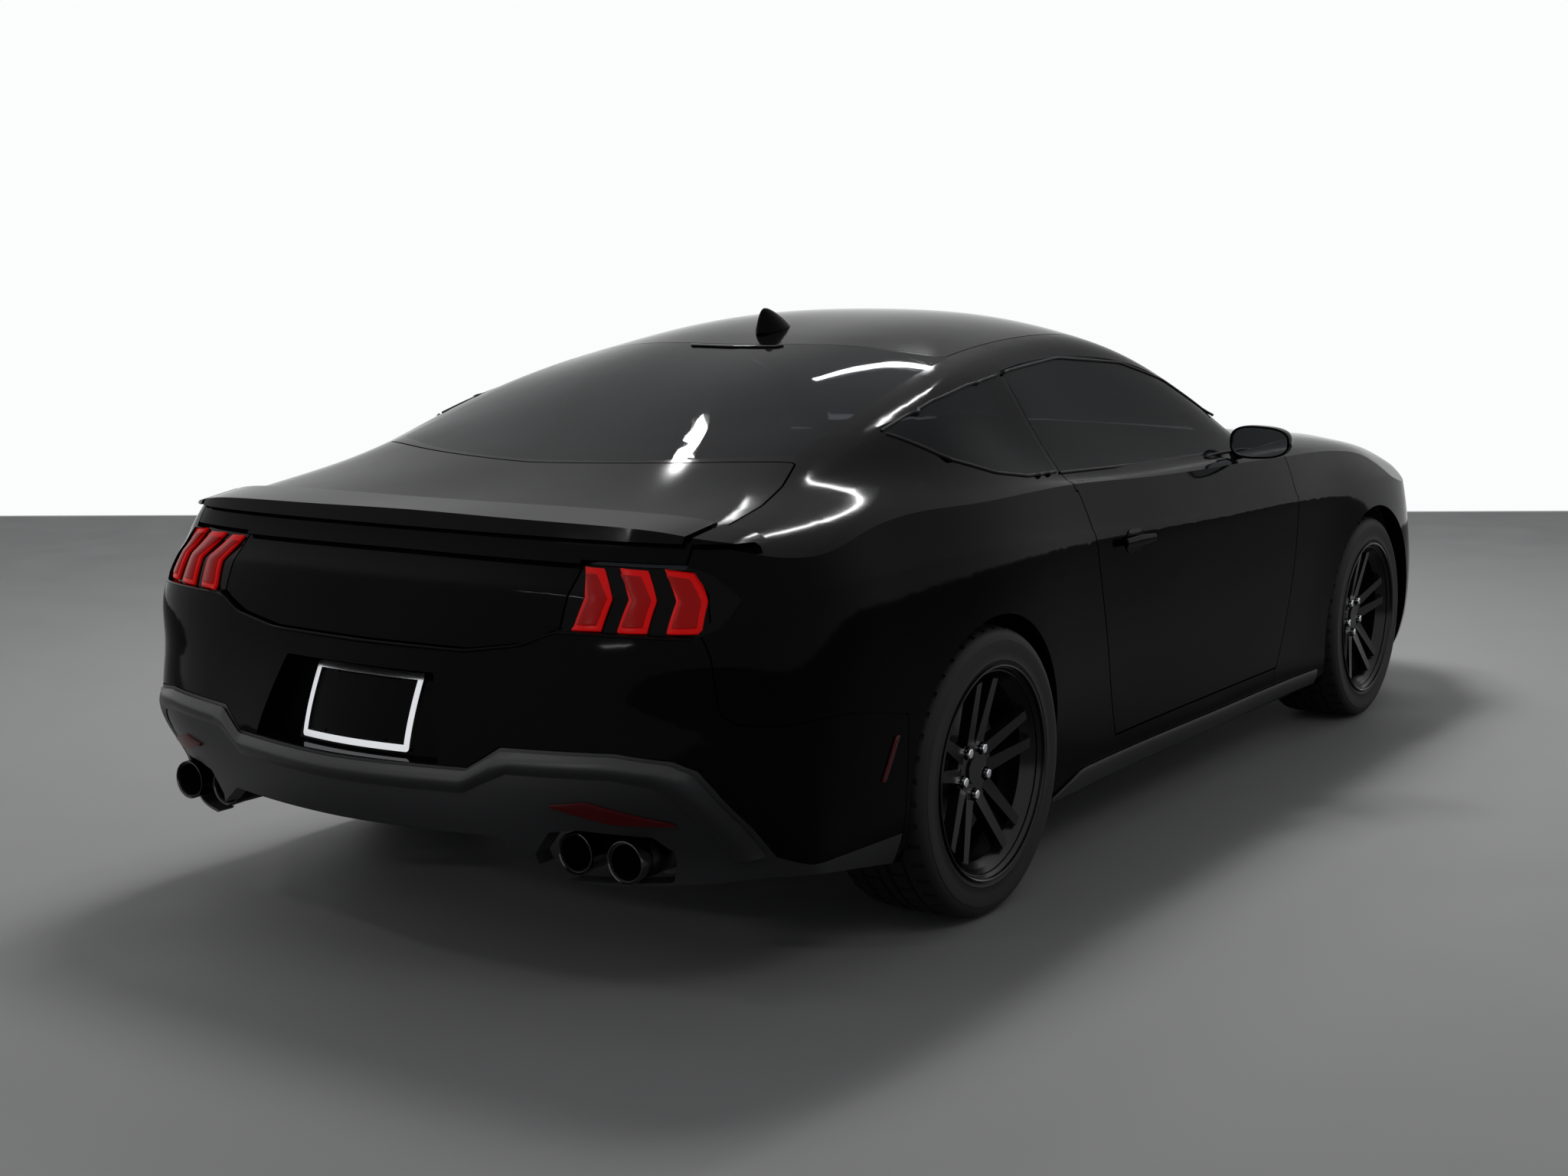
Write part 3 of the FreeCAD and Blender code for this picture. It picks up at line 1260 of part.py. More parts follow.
def wheel_shape():
    half = size("rim_width") / 2
    wall = size("rim_wall")
    flange = size("flange_wall")
    rim_radius = size("rim_radius")
    bead = rim_radius - size("flange_height")
    drop = bead - size("drop_depth")
    bead_end = half - flange - size("bead_width")
    drop_end = bead_end - size("drop_slope")
    outer = [
        (half, rim_radius), (half - flange, rim_radius), (half - flange, bead), (bead_end, bead),
        (drop_end, drop),
    ]
    inner = [
        (drop_end, drop - wall), (bead_end, bead - wall), (half, rim_radius - wall),
    ]
    outer = outer + [(-across, radius) for across, radius in reversed(outer)]
    inner = [(-across, radius) for across, radius in reversed(inner)] + inner
    shape = ring_turned(outer + inner)
    face_place = size("wheel_offset")
    front_place = face_place + size("hub_pad")
    hub = ring_turned([
        (face_place, size("bore_radius")), (front_place, size("bore_radius")),
        (front_place, size("hub_radius")), (face_place, size("hub_radius")),
    ])
    root = size("spoke_root")
    tip_radius = drop - wall / 2
    dish = ring_turned([
        (face_place, root), (front_place, root),
        (front_place + size("spoke_dish"), tip_radius),
        (front_place + size("spoke_dish") - size("spoke_depth"), tip_radius),
    ])
    spokes = []
    for index in range(5):
        for side in (-1, 1):
            corners = [
                (size("split_root"), root), (size("split_root") + size("spoke_root_width"), root),
                (size("split_tip") + size("spoke_tip_width"), tip_radius),
                (size("split_tip"), tip_radius),
            ]
            points = [vec(side * across, 0, radius) for across, radius in corners]
            face = Part.Face(Part.makePolygon(points + points[:1]))
            bar_solid = face.extrude(vec(0, half, 0))
            bar_solid.rotate(Vector(0, 0, 0), Vector(0, 1, 0), 72 * index)
            spokes.append(bar_solid)
    spokes = spokes[0].fuse(spokes[1:]).common(dish)
    shape = shape.fuse([hub, spokes])
    pockets = []
    nuts = []
    floor_place = front_place - size("pocket_depth")
    for index in range(5):
        turn = math.radians(72 * index + 36)
        lug = size("lug_circle") / 2
        at = vec(lug * math.sin(turn), floor_place, lug * math.cos(turn))
        pockets.append(Part.makeCylinder(
            float(size("lug_pocket")), float(size("spoke_dish") + size("pocket_depth")), at,
            Vector(0, 1, 0),
        ))
        nuts.append(Part.makeCylinder(
            float(size("lug_radius")), float(size("lug_height")), at, Vector(0, 1, 0)
        ))
    shape = shape.cut(pockets[0].fuse(pockets[1:]))
    cap = Part.makeCylinder(
        float(size("cap_radius")), float(size("hub_pad") + size("cap_height")),
        vec(0, face_place, 0), Vector(0, 1, 0),
    )
    return shape.fuse(nuts + [cap]).removeSplitter()


def tyre_shape():
    """Tyre of straight bands, hollow over the rim."""
    bead = size("rim_radius") - size("flange_height") + seat
    foot = size("rim_width") / 2 - size("flange_wall") - seat
    half = size("tyre_width") / 2
    tread = size("tread_width") / 2
    top = size("tyre_radius")
    wall = size("tyre_wall")
    rise = top - bead
    outer = [
        (foot, bead), (foot, bead + rise * 0.17), (half, bead + rise * 0.52),
        (half - wall / 4, bead + rise * 0.74), (tread, top - wall / 4), (tread / 2, top),
    ]
    inner = [
        (tread / 2, top - wall), (tread - wall, top - wall * 1.4),
        (half - wall, bead + rise * 0.6), (foot - wall, bead + rise * 0.15), (foot - wall, bead),
    ]
    section = outer + [(-across, radius) for across, radius in reversed(outer)]
    section += [(-across, radius) for across, radius in reversed(inner)] + inner
    return ring_turned(section)


def disc_body(name):
    """Brake disc with its hat, turned from a bound sketch."""
    body = doc.addObject("PartDesign::Body", name)
    sketch = body.newObject("Sketcher::SketchObject", name + "Section")
    plane = [item for item in body.Origin.OriginFeatures if item.Role == "YZ_Plane"][0]
    sketch.AttachmentSupport = [(plane, "")]
    sketch.MapMode = "FlatFace"
    ring_half = size("disc_width") / 2
    hat_end = size("wheel_offset") - seat
    corners = [
        (-ring_half, size("disc_inner")), (-ring_half, size("disc_radius")),
        (ring_half, size("disc_radius")), (ring_half, size("hat_radius")),
        (hat_end, size("hat_radius")), (hat_end, size("bore_radius")),
        (hat_end - size("hat_wall"), size("bore_radius")),
        (hat_end - size("hat_wall"), size("disc_inner")),
    ]
    ends = corners[1:] + corners[:1]
    for start, end in zip(corners, ends):
        sketch.addGeometry(Part.LineSegment(vec(*start, 0), vec(*end, 0)), False)
    for index, (across, radius) in enumerate(corners):
        previous = (index - 1) % len(corners)
        sketch.addConstraint(Sketcher.Constraint("Coincident", previous, 2, index, 1))
        for kind, term in (("DistanceX", across), ("DistanceY", radius)):
            place = sketch.addConstraint(Sketcher.Constraint(kind, -1, 1, index, 1, float(term)))
            sketch.setExpression(f"Constraints[{place}]", text(term))
    turned = body.newObject("PartDesign::Revolution", name + "Turned")
    turned.Profile = sketch
    turned.ReferenceAxis = (sketch, ["H_Axis"])
    turned.Angle = 360
    return body


wheel_solid = wheel_shape()
tyre_solid = tyre_shape()
corners = {
    "front_left": (front_axle, size("track_front") / 2, 1),
    "front_right": (front_axle, size("track_front") / 2, -1),
    "rear_left": (rear_axle, size("track_rear") / 2, 1),
    "rear_right": (rear_axle, size("track_rear") / 2, -1),
}
for corner_name, (axle, out, side) in corners.items():
    place = Placement(vec(axle, side * out, axle_height), Rotation(90 - 90 * side, 0, 0))
    feature(f"wheel_{corner_name}", wheel_solid).Placement = place
    feature(f"tyre_{corner_name}", tyre_solid).Placement = place
    disc = named(f"brake_disc_{corner_name}", disc_body(f"Disc_{corner_name}"))
    disc.Placement = place

# Suspension, each side built on the left and turned over


def span(points, radius):
    """Round bar along a line of points, with ball ends at the bends."""
    bars = []
    for start, end in zip(points, points[1:]):
        bars.append(Part.makeCylinder(
            float(radius), (end - start).Length, start, end - start
        ))
    balls = [Part.makeSphere(float(radius), point) for point in points[1:-1]]
    return bars[0].fuse(bars[1:] + balls) if len(bars) > 1 else bars[0]


front_out = size("track_front") / 2
rear_out = size("track_rear") / 2


def caliper(axle, out):
    """Block that straddles the disc behind the axle."""
    reach = size("caliper_radius")
    thick = size("disc_width") + 2 * size("caliper_gap")
    near = out - thick / 2 - size("caliper_wall")
    ring = tube(axle, reach, size("hat_radius") + size("caliper_clear"), near, out + thick / 2
                + size("caliper_outer"))
    slot = tube(axle, size("disc_radius") + size("caliper_gap"), size("bore_radius"),
                out - thick / 2, out + thick / 2)
    sector = Part.makeBox(
        float(reach), float(2 * out), float(size("caliper_height")),
        vec(axle - reach, 0, axle_height - size("caliper_height") / 2),
    )
    return ring.cut(slot).common(sector)


hat_inside = size("wheel_offset") - seat - size("hat_wall")


def carrier(axle, out, low, top):
    """Upright with its spindle."""
    near = out - size("carrier_inner")
    far = out - size("carrier_outer")
    upright = Part.makeBox(
        float(size("carrier_width")), float(far - near), float(top - low),
        vec(axle - size("carrier_width") / 2, near, low),
    )
    arm = Part.makeBox(
        float(size("caliper_radius") - size("carrier_width") / 2), float(far - near),
        float(size("caliper_height") / 2),
        vec(axle - size("caliper_radius") + size("caliper_trim"), near,
            axle_height - size("caliper_height") / 4),
    )
    spindle = Part.makeCylinder(
        float(size("spindle_radius")), float(out + hat_inside - seat - far),
        vec(axle, far, axle_height),
        Vector(0, 1, 0),
    )
    shape = upright.fuse([arm, spindle, caliper(axle, out)])
    return shape.removeSplitter()


kingpin = front_out - size("kingpin_inset")
low_arm = roof * 0.1671
arm_wall = size("arm_wall")
knuckle_low = roof * 0.1888
knuckle = carrier(front_axle, front_out, knuckle_low, roof * 0.3386)
knuckle = knuckle.fuse(Part.makeCylinder(
    float(arm_wall), float(knuckle_low - low_arm - arm_wall - seat),
    vec(front_axle, kingpin, low_arm + arm_wall + seat),
)).removeSplitter()
feature("knuckle_left", knuckle)
feature("knuckle_right", twin(knuckle))

subframe = block((0.939, 1.186), (-0.46, 0.46), (0.1527, 0.1871))
post = block((0.939, 1.186), (0.456, 0.479), (0.1527, 0.2159))
outer_joint = vec(front_axle, kingpin, low_arm)
arm = span([vec(along(0.95), half_width * 0.449, low_arm), outer_joint], arm_wall)
arm = arm.fuse(span([vec(along(1.143), half_width * 0.449, low_arm), outer_joint], arm_wall))
arm = arm.fuse(Part.makeSphere(float(arm_wall), outer_joint))
strut = span([
    vec(front_axle, front_out - size("strut_low"), roof * 0.3458),
    vec(front_axle, front_out - size("strut_middle"), roof * 0.4179),
    vec(front_axle, front_out - size("strut_top"), roof * 0.5512),
], size("strut_radius"))
strut = strut.common(Part.makeCylinder(
    float(liner_radius - seat), float(half_width), vec(front_axle, 0, axle_height), Vector(0, 1, 0)
))
front_parts = both(post) + both(arm)
links = subframe.fuse(front_parts).removeSplitter()
feature("front_suspension", Part.makeCompound([links] + both(strut)))

final_drive = block((-0.109, 0.046), (-0.146, 0.146), (0.2089, 0.3242))
shaft = span([vec(rear_axle, half_width * 0.125, axle_height),
              vec(rear_axle, rear_out - size("carrier_outer"), axle_height)], size("shaft_radius"))
cross = block((-0.144, -0.105), (-0.616, 0.616), (0.2089, 0.2378))
cross_front = block((0.038, 0.049), (-0.616, 0.616), (0.2089, 0.2378))
tower = block((-0.144, -0.105), (0.574, 0.616), (0.2089, 0.3384))
rear_joint = vec(rear_axle, rear_out - size("carrier_inner") + size("arm_wall"), roof * 0.2233)
rear_arm = span([vec(along(-0.125), half_width * 0.585, roof * 0.2233), rear_joint], arm_wall)
rear_arm = rear_arm.fuse(
    span([vec(along(0.042), half_width * 0.585, roof * 0.2233), rear_joint], arm_wall)
)
rear_carrier = carrier(rear_axle, rear_out, roof * 0.1888, roof * 0.3098)
rear_parts = [cross, cross_front] + both(shaft) + both(tower) + both(rear_arm) + both(rear_carrier)
feature("rear_suspension", final_drive.fuse(rear_parts).removeSplitter())

# Exhaust from the block to the mufflers and their four tips
pipe_height = roof * 0.1787
pipe_path = [
    vec(along(0.844), half_width * 0.063, pipe_height),
    vec(along(0.204), half_width * 0.063, pipe_height),
    vec(along(0.112), half_width * 0.334, pipe_height),
    vec(along(-0.387), half_width * 0.334, pipe_height),
    vec(along(-0.587), half_width * 0.543, roof * 0.2262),
]
pipe = span(pipe_path, size("pipe_radius"))
muffler = block((-0.743, -0.543), (0.46, 0.726), (0.1888, 0.2651))
muffler = rounded(muffler, Vector(1, 0, 0), size("muffler_round"))
tips = []
for width_share, height_share in tip_shares:
    start = vec(along(-0.735), half_width * width_share, roof * height_share)
    reach = float(along(-0.735) - along(tip_end_share))
    tips.append(Part.makeCylinder(float(size("tip_radius")), reach, start, Vector(-1, 0, 0)))
    bore = Part.makeCylinder(
        float(size("tip_radius") - size("tip_wall")), reach, start - vec(size("tip_wall"), 0, 0),
        Vector(-1, 0, 0),
    )
    tips[-1] = tips[-1].cut(bore)
hanger = block((-0.652, -0.635), (0.543, 0.564), (0.2594, 0.3384))
exhaust = pipe.fuse([muffler, hanger] + tips)
feature("exhaust_system", Part.makeCompound(both(exhaust.removeSplitter())))

doc.recompute()

# Every object must be sound before it is saved
for item in doc.Objects:
    if "Invalid" in item.State or "Error" in item.State:
        raise RuntimeError(f"{item.Label} did not rebuild")
for label, item in parts.items():
    if item.Shape.isNull() or not item.Shape.isValid() or not item.Shape.Solids:
        raise RuntimeError(f"{label} is not a sound solid")
    item.Shape.exportStep(f"parts/{label}.step")
    print(label, len(item.Shape.Solids), round(item.Shape.Volume / 1e6, 2))
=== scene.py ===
import json
import math
import bpy
from mathutils import Matrix, Vector
from mathutils.bvhtree import BVHTree


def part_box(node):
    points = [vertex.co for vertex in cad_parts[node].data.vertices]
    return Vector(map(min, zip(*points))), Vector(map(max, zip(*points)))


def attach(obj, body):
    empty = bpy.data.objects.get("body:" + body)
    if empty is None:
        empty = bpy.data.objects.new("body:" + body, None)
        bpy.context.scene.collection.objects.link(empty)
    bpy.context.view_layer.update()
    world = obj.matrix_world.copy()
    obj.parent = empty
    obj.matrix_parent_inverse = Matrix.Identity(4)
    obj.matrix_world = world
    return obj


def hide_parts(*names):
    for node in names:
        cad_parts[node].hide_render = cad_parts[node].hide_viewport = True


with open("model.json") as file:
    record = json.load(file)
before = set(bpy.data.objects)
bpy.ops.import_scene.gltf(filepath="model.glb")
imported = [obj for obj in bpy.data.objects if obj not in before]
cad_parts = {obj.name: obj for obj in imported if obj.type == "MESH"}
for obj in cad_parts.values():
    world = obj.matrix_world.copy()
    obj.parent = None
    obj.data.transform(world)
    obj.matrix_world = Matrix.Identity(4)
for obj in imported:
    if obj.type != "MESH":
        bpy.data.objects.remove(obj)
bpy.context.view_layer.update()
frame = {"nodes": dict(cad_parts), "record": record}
nodes = frame["nodes"]
scene = bpy.context.scene
bpy.ops.object.select_all(action="DESELECT")

# Camera, at the photograph's angle
cameraSizes = {"place": (-5.393, -3.160, 1.447), "yaw": 34.03, "pitch": -8.21, "roll": -0.18, "lens": 47.6}
camera = bpy.data.objects.new("camera", bpy.data.cameras.new("camera"))
scene.collection.objects.link(camera)
camera.data.lens = cameraSizes["lens"]
camera.data.clip_end = 100
camera.location = cameraSizes["place"]
yaw, pitch, roll = [math.radians(cameraSizes[name]) for name in ("yaw", "pitch", "roll")]
look = Vector((math.cos(yaw) * math.cos(pitch), math.sin(yaw) * math.cos(pitch), math.sin(pitch)))
camera.rotation_euler = (look.to_track_quat("-Z", "Y").to_matrix() @ Matrix.Rotation(roll, 3, "Z")).to_euler()
bpy.context.scene.camera = camera
scene.view_settings.view_transform = "Standard"

# World: white where the camera sees it, dim on the car
studio = {"white": (0.97, 0.975, 0.98), "whiteStrength": 1.0, "dim": (0.8, 0.84, 0.9), "dimStrength": 0.09}
world = bpy.data.worlds.new("studio")
scene.world = world
world.use_nodes = True
worldTree = world.node_tree
dimLight = worldTree.nodes["Background"]
dimLight.inputs["Color"].default_value = (*studio["dim"], 1)
dimLight.inputs["Strength"].default_value = studio["dimStrength"]
whiteWall = worldTree.nodes.new("ShaderNodeBackground")
whiteWall.inputs["Color"].default_value = (*studio["white"], 1)
whiteWall.inputs["Strength"].default_value = studio["whiteStrength"]


# 1 for the rays that show the backdrop: from the camera, off gloss and through glass
def backdropRays(tree):
    path = tree.nodes.new("ShaderNodeLightPath")
    total = path.outputs["Is Camera Ray"]
    for name in ("Is Glossy Ray", "Is Transmission Ray"):
        larger = tree.nodes.new("ShaderNodeMath")
        larger.operation = "MAXIMUM"
        tree.links.new(total, larger.inputs[0])
        tree.links.new(path.outputs[name], larger.inputs[1])
        total = larger.outputs[0]
    return total


chosen = worldTree.nodes.new("ShaderNodeMixShader")
worldTree.links.new(backdropRays(worldTree), chosen.inputs[0])
worldTree.links.new(dimLight.outputs[0], chosen.inputs[1])
worldTree.links.new(whiteWall.outputs[0], chosen.inputs[2])
worldTree.links.new(chosen.outputs[0], worldTree.nodes["World Output"].inputs["Surface"])

# Soft panels fill the room, and give no mirror image of themselves in the paint
softPanels = [  # name, place, aim, width, height, power
    ("keyPanel", (-2.5, -4.5, 4.6), (-0.6, 0, 0.6), 4.5, 1.6, 32),
    ("rearPanel", (-6.5, 2.0, 3.4), (-1.6, 0, 0.7), 3.0, 1.4, 12),
    ("topPanel", (0.9, 1.0, 5.2), (0, 0, 0.5), 1.6, 0.9, 200),
    ("nosePanel", (5.5, 1.0, 3.6), (1.5, 0, 0.6), 3.0, 1.6, 30),
]
# Thin ceiling tubes, which the paint and glass do mirror
ceilingTubes = [  # name, one end, other end, width, power
    ("glassTube", (1.95, 1.89, 4.0), (2.97, 1.34, 4.0), 0.08, 24),
    ("pillarTube", (1.04, 0.42, 4.0), (2.00, 0.09, 4.0), 0.06, 32),
    ("deckTube", (1.61, 2.62, 4.0), (1.53, 2.48, 4.0), 0.07, 8),
    ("bladeTube", (-4.65, 2.15, 4.0), (-5.15, 1.20, 4.0), 0.05, 14),
    ("tailTube", (-10.8, 1.90, 4.0), (-9.8, 0.30, 4.0), 0.30, 120),
]
for name, place, aim, width, height, power in softPanels:
    lamp = bpy.data.lights.new(name, "AREA")
    lamp.shape = "RECTANGLE"
    lamp.size, lamp.size_y, lamp.energy = width, height, power
    panel = bpy.data.objects.new(name, lamp)
    panel.location = place
    panel.rotation_euler = (Vector(aim) - Vector(place)).to_track_quat("-Z", "Y").to_euler()
    panel.visible_glossy = False
    scene.collection.objects.link(panel)
for name, first, second, width, power in ceilingTubes:
    lamp = bpy.data.lights.new(name, "AREA")
    lamp.shape = "RECTANGLE"
    lamp.size, lamp.size_y, lamp.energy = math.dist(first, second), width, power
    tube = bpy.data.objects.new(name, lamp)
    tube.location = (Vector(first) + Vector(second)) / 2
    tube.rotation_euler = (0, 0, math.atan2(second[1] - first[1], second[0] - first[0]))
    scene.collection.objects.link(tube)
print("camera and lights ready")


# Finishes. Each is mixed from a noise between a darker and a lighter tone of its colour
def newFinish(name, color, roughness, metallic=0.0, coat=0.0, relief=0.0, scale=60.0, tone=0.12, glow=0.0,
              clear=0.0, stretch=(1, 1, 1), sheen=0.0, shine=0.5, ior=1.5):
    finish = bpy.data.materials.new(name)
    finish.use_nodes = True
    tree = finish.node_tree
    link = tree.links.new
    shader = tree.nodes["Principled BSDF"]
    shader.inputs["Metallic"].default_value = metallic
    shader.inputs["Coat Weight"].default_value = coat
    shader.inputs["Transmission Weight"].default_value = clear
    shader.inputs["Sheen Weight"].default_value = sheen
    shader.inputs["Specular IOR Level"].default_value = shine
    shader.inputs["IOR"].default_value = ior
    shader.inputs["Emission Color"].default_value = (*color, 1)
    shader.inputs["Emission Strength"].default_value = glow
    spot = tree.nodes.new("ShaderNodeTexCoord")
    spread = tree.nodes.new("ShaderNodeMapping")
    spread.inputs["Scale"].default_value = stretch
    noise = tree.nodes.new("ShaderNodeTexNoise")
    noise.inputs["Scale"].default_value = scale
    noise.inputs["Detail"].default_value = 5
    link(spot.outputs["Object"], spread.inputs["Vector"])
    link(spread.outputs["Vector"], noise.inputs["Vector"])
    tones = tree.nodes.new("ShaderNodeMix")
    tones.data_type = "RGBA"
    tones.inputs[6].default_value = (*[part * (1 - tone) for part in color], 1)
    tones.inputs[7].default_value = (*[min(1, part * (1 + tone)) for part in color], 1)
    link(noise.outputs["Fac"], tones.inputs[0])
    link(tones.outputs[2], shader.inputs["Base Color"])
    polish = tree.nodes.new("ShaderNodeMapRange")
    polish.inputs["To Min"].default_value = roughness * 0.85
    polish.inputs["To Max"].default_value = min(1, roughness * 1.15)
    link(noise.outputs["Fac"], polish.inputs["Value"])
    link(polish.outputs["Result"], shader.inputs["Roughness"])
    if relief:
        grain = tree.nodes.new("ShaderNodeBump")
        grain.inputs["Strength"].default_value = relief
        grain.inputs["Distance"].default_value = 0.001
        link(noise.outputs["Fac"], grain.inputs["Height"])
        link(grain.outputs["Normal"], shader.inputs["Normal"])
    return finish


# Leather and soft plastic get pebbled cells over the noise
def addPebbles(finish, cellScale, depth):
    tree = finish.node_tree
    shader = tree.nodes["Principled BSDF"]
    spot = tree.nodes.new("ShaderNodeTexCoord")
    cells = tree.nodes.new("ShaderNodeTexVoronoi")
    cells.feature = "DISTANCE_TO_EDGE"
    cells.inputs["Scale"].default_value = cellScale
    pebbles = tree.nodes.new("ShaderNodeBump")
    pebbles.inputs["Strength"].default_value = depth
    pebbles.inputs["Distance"].default_value = 0.0008
    tree.links.new(spot.outputs["Object"], cells.inputs["Vector"])
    tree.links.new(cells.outputs["Distance"], pebbles.inputs["Height"])
    if shader.inputs["Normal"].is_linked:
        tree.links.new(shader.inputs["Normal"].links[0].from_socket, pebbles.inputs["Normal"])
    tree.links.new(pebbles.outputs["Normal"], shader.inputs["Normal"])


finishTable = {  # name: colour, roughness, and what else it sets
    "paint": ((0.0035, 0.0035, 0.004), 0.08, {"scale": 900, "tone": 0.3, "shine": 0.022}),
    "glossTrim": ((0.003, 0.003, 0.0035), 0.07, {"scale": 300, "shine": 0.04}),
    "satinTrim": ((0.017, 0.0175, 0.019), 0.36, {"relief": 0.12, "scale": 900, "shine": 0.3}),
    "rubber": ((0.008, 0.008, 0.008), 0.6, {"relief": 0.2, "scale": 400, "shine": 0.2}),
    "tyreRubber": ((0.011, 0.011, 0.012), 0.62, {"relief": 0.3, "scale": 300, "shine": 0.2}),
    "wheelBlack": ((0.006, 0.006, 0.007), 0.2, {"scale": 500, "shine": 0.22}),
    "iron": ((0.14, 0.135, 0.13), 0.45, {"metallic": 0.9, "relief": 0.3, "scale": 180,
                                         "stretch": (1, 0.1, 1)}),
    "underSteel": ((0.014, 0.014, 0.016), 0.6, {"relief": 0.2, "scale": 150}),
    "castAlloy": ((0.35, 0.35, 0.36), 0.45, {"metallic": 0.9, "relief": 0.5, "scale": 220}),
    "brightMetal": ((0.72, 0.73, 0.75), 0.14, {"metallic": 1.0, "scale": 200, "tone": 0.05}),
    "pipeSteel": ((0.06, 0.058, 0.056), 0.32, {"metallic": 1.0, "relief": 0.2, "scale": 120}),
    "leather": ((0.012, 0.0115, 0.011), 0.45, {"relief": 0.1, "scale": 60, "sheen": 0.05}),
    "softPlastic": ((0.013, 0.013, 0.0135), 0.55, {"scale": 80}),
    "redGlow": ((0.48, 0.003, 0.003), 0.3, {"scale": 240, "tone": 0.2, "glow": 0.4,
                                            "stretch": (1, 1, 6), "shine": 0.1}),
    "deepRed": ((0.26, 0.002, 0.002), 0.3, {"scale": 260, "tone": 0.35, "glow": 0.26,
                                            "stretch": (1, 1, 6), "shine": 0.1}),
    # markerRed glows faintly; on the red reflectors, which are no lamps, that glow is painted light
    "markerRed": ((0.055, 0.002, 0.003), 0.3, {"scale": 260, "tone": 0.3, "glow": 0.06, "shine": 0.15}),
    "smokedLens": ((0.004, 0.0028, 0.003), 0.07, {"scale": 160, "shine": 0.04}),
    "lampWhite": ((0.75, 0.8, 0.86), 0.1, {"coat": 1.0, "scale": 300, "tone": 0.05, "glow": 0.25}),
    "clearLens": ((0.04, 0.042, 0.045), 0.05, {"coat": 0.4, "scale": 100}),
    "darkGlass": ((0.05, 0.054, 0.06), 0.02, {"scale": 40, "clear": 0.85, "ior": 1.07}),
    "tipSteel": ((0.05, 0.048, 0.048), 0.16, {"metallic": 1.0, "scale": 260, "tone": 0.1,
                                              "stretch": (0.2, 1, 1)}),
    "satinMetal": ((0.32, 0.325, 0.335), 0.3, {"metallic": 1.0, "scale": 400, "stretch": (0.1, 1, 1)}),
    "mirrorFace": ((0.5, 0.52, 0.54), 0.03, {"metallic": 1.0, "scale": 90, "tone": 0.03}),
    "screen": ((0.004, 0.005, 0.006), 0.06, {"coat": 1.0, "scale": 200}),
}
finishes = {name: newFinish(name, color, roughness, **extra)
            for name, (color, roughness, extra) in finishTable.items()}
for name, cellScale, depth in (("leather", 620, 0.5), ("softPlastic", 900, 0.4)):
    addPebbles(finishes[name], cellScale, depth)
slotFinishes = {
    "paint": "paint", "gloss_trim": "glossTrim", "trim": "satinTrim", "dark_glass": "darkGlass",
    "clear_lens": "clearLens", "red_lens": "smokedLens", "wheel_finish": "wheelBlack",
    "tyre_rubber": "tyreRubber", "iron": "iron", "under_steel": "underSteel", "aluminium": "castAlloy",
    "steel": "pipeSteel", "bright_frame": "brightMetal", "seat_leather": "leather",
    "wheel_leather": "leather", "dash_plastic": "softPlastic",
}
for part in frame["record"]["subparts"]:
    nodes[part["node"]].data.materials.clear()
    nodes[part["node"]].data.materials.append(finishes[slotFinishes[part["material_slot"]]])
print("finishes ready")

# Floor: grey near the car, and a white strip from where the room's wall would stand
floorSizes = {"near": 60, "wallDistance": 13.4, "wallDepth": 40, "lineWidth": 0.03}


def floorFinish(name, color, white, relief):
    finish = newFinish(name, color, 0.7, relief=relief, scale=3, tone=0.07)
    if white:
        tree = finish.node_tree
        glowing = tree.nodes.new("ShaderNodeEmission")
        glowing.inputs["Color"].default_value = (*studio["white"], 1)
        mixed = tree.nodes.new("ShaderNodeMixShader")
        tree.links.new(backdropRays(tree), mixed.inputs[0])
        tree.links.new(tree.nodes["Principled BSDF"].outputs[0], mixed.inputs[1])
        tree.links.new(glowing.outputs[0], mixed.inputs[2])
        tree.links.new(mixed.outputs[0], tree.nodes["Material Output"].inputs["Surface"])
    return finish


def floorPiece(name, start, depth, width, height, finish):
    bpy.ops.mesh.primitive_grid_add(x_subdivisions=8, y_subdivisions=8, size=1)
    piece = bpy.context.object
    piece.name = name
    along = Vector((math.cos(yaw), math.sin(yaw), 0))
    middle = Vector((camera.location.x, camera.location.y, height)) + along * (start + depth / 2)
    piece.data.transform(Matrix.Translation(middle) @ Matrix.Rotation(yaw, 4, "Z")
                         @ Matrix.Diagonal((depth, width, 1, 1)))
    piece.data.materials.append(finish)


wallStart = floorSizes["wallDistance"]
floorPiece("floor", wallStart - floorSizes["near"], floorSizes["near"], 90, 0,
           floorFinish("floorGrey", (0.25, 0.25, 0.252), False, 0.1))
floorPiece("wallLine", wallStart, floorSizes["lineWidth"], 90, 0.001,
           floorFinish("lineGrey", (0.12, 0.12, 0.125), False, 0))
floorPiece("wallGround", wallStart + floorSizes["lineWidth"], floorSizes["wallDepth"], 160, 0,
           floorFinish("wallWhite", (0.8, 0.8, 0.8), True, 0))


# Ways to make pieces
def editAll():
    bpy.ops.object.mode_set(mode="EDIT")
    bpy.ops.mesh.select_all(action="SELECT")


def endEdit():
    bpy.ops.object.mode_set(mode="OBJECT")


def surfaceOf(*names):
    points, faces = [], []
    for name in names:
        start = len(points)
        points += [nodes[name].matrix_world @ vertex.co for vertex in nodes[name].data.vertices]
        faces += [[start + corner for corner in face.vertices] for face in nodes[name].data.polygons]
    return BVHTree.FromPolygons(points, faces)


def pathPoint(path, share):
    lengths = [0.0]
    for first, second in zip(path, path[1:]):
        lengths.append(lengths[-1] + math.dist(first, second))
    goal = share * lengths[-1]
    for index in range(len(path) - 1):
        if goal <= lengths[index + 1] + 1e-9:
            part = (goal - lengths[index]) / max(1e-9, lengths[index + 1] - lengths[index])
            return [a + (b - a) * part for a, b in zip(path[index], path[index + 1])]
    return list(path[-1])


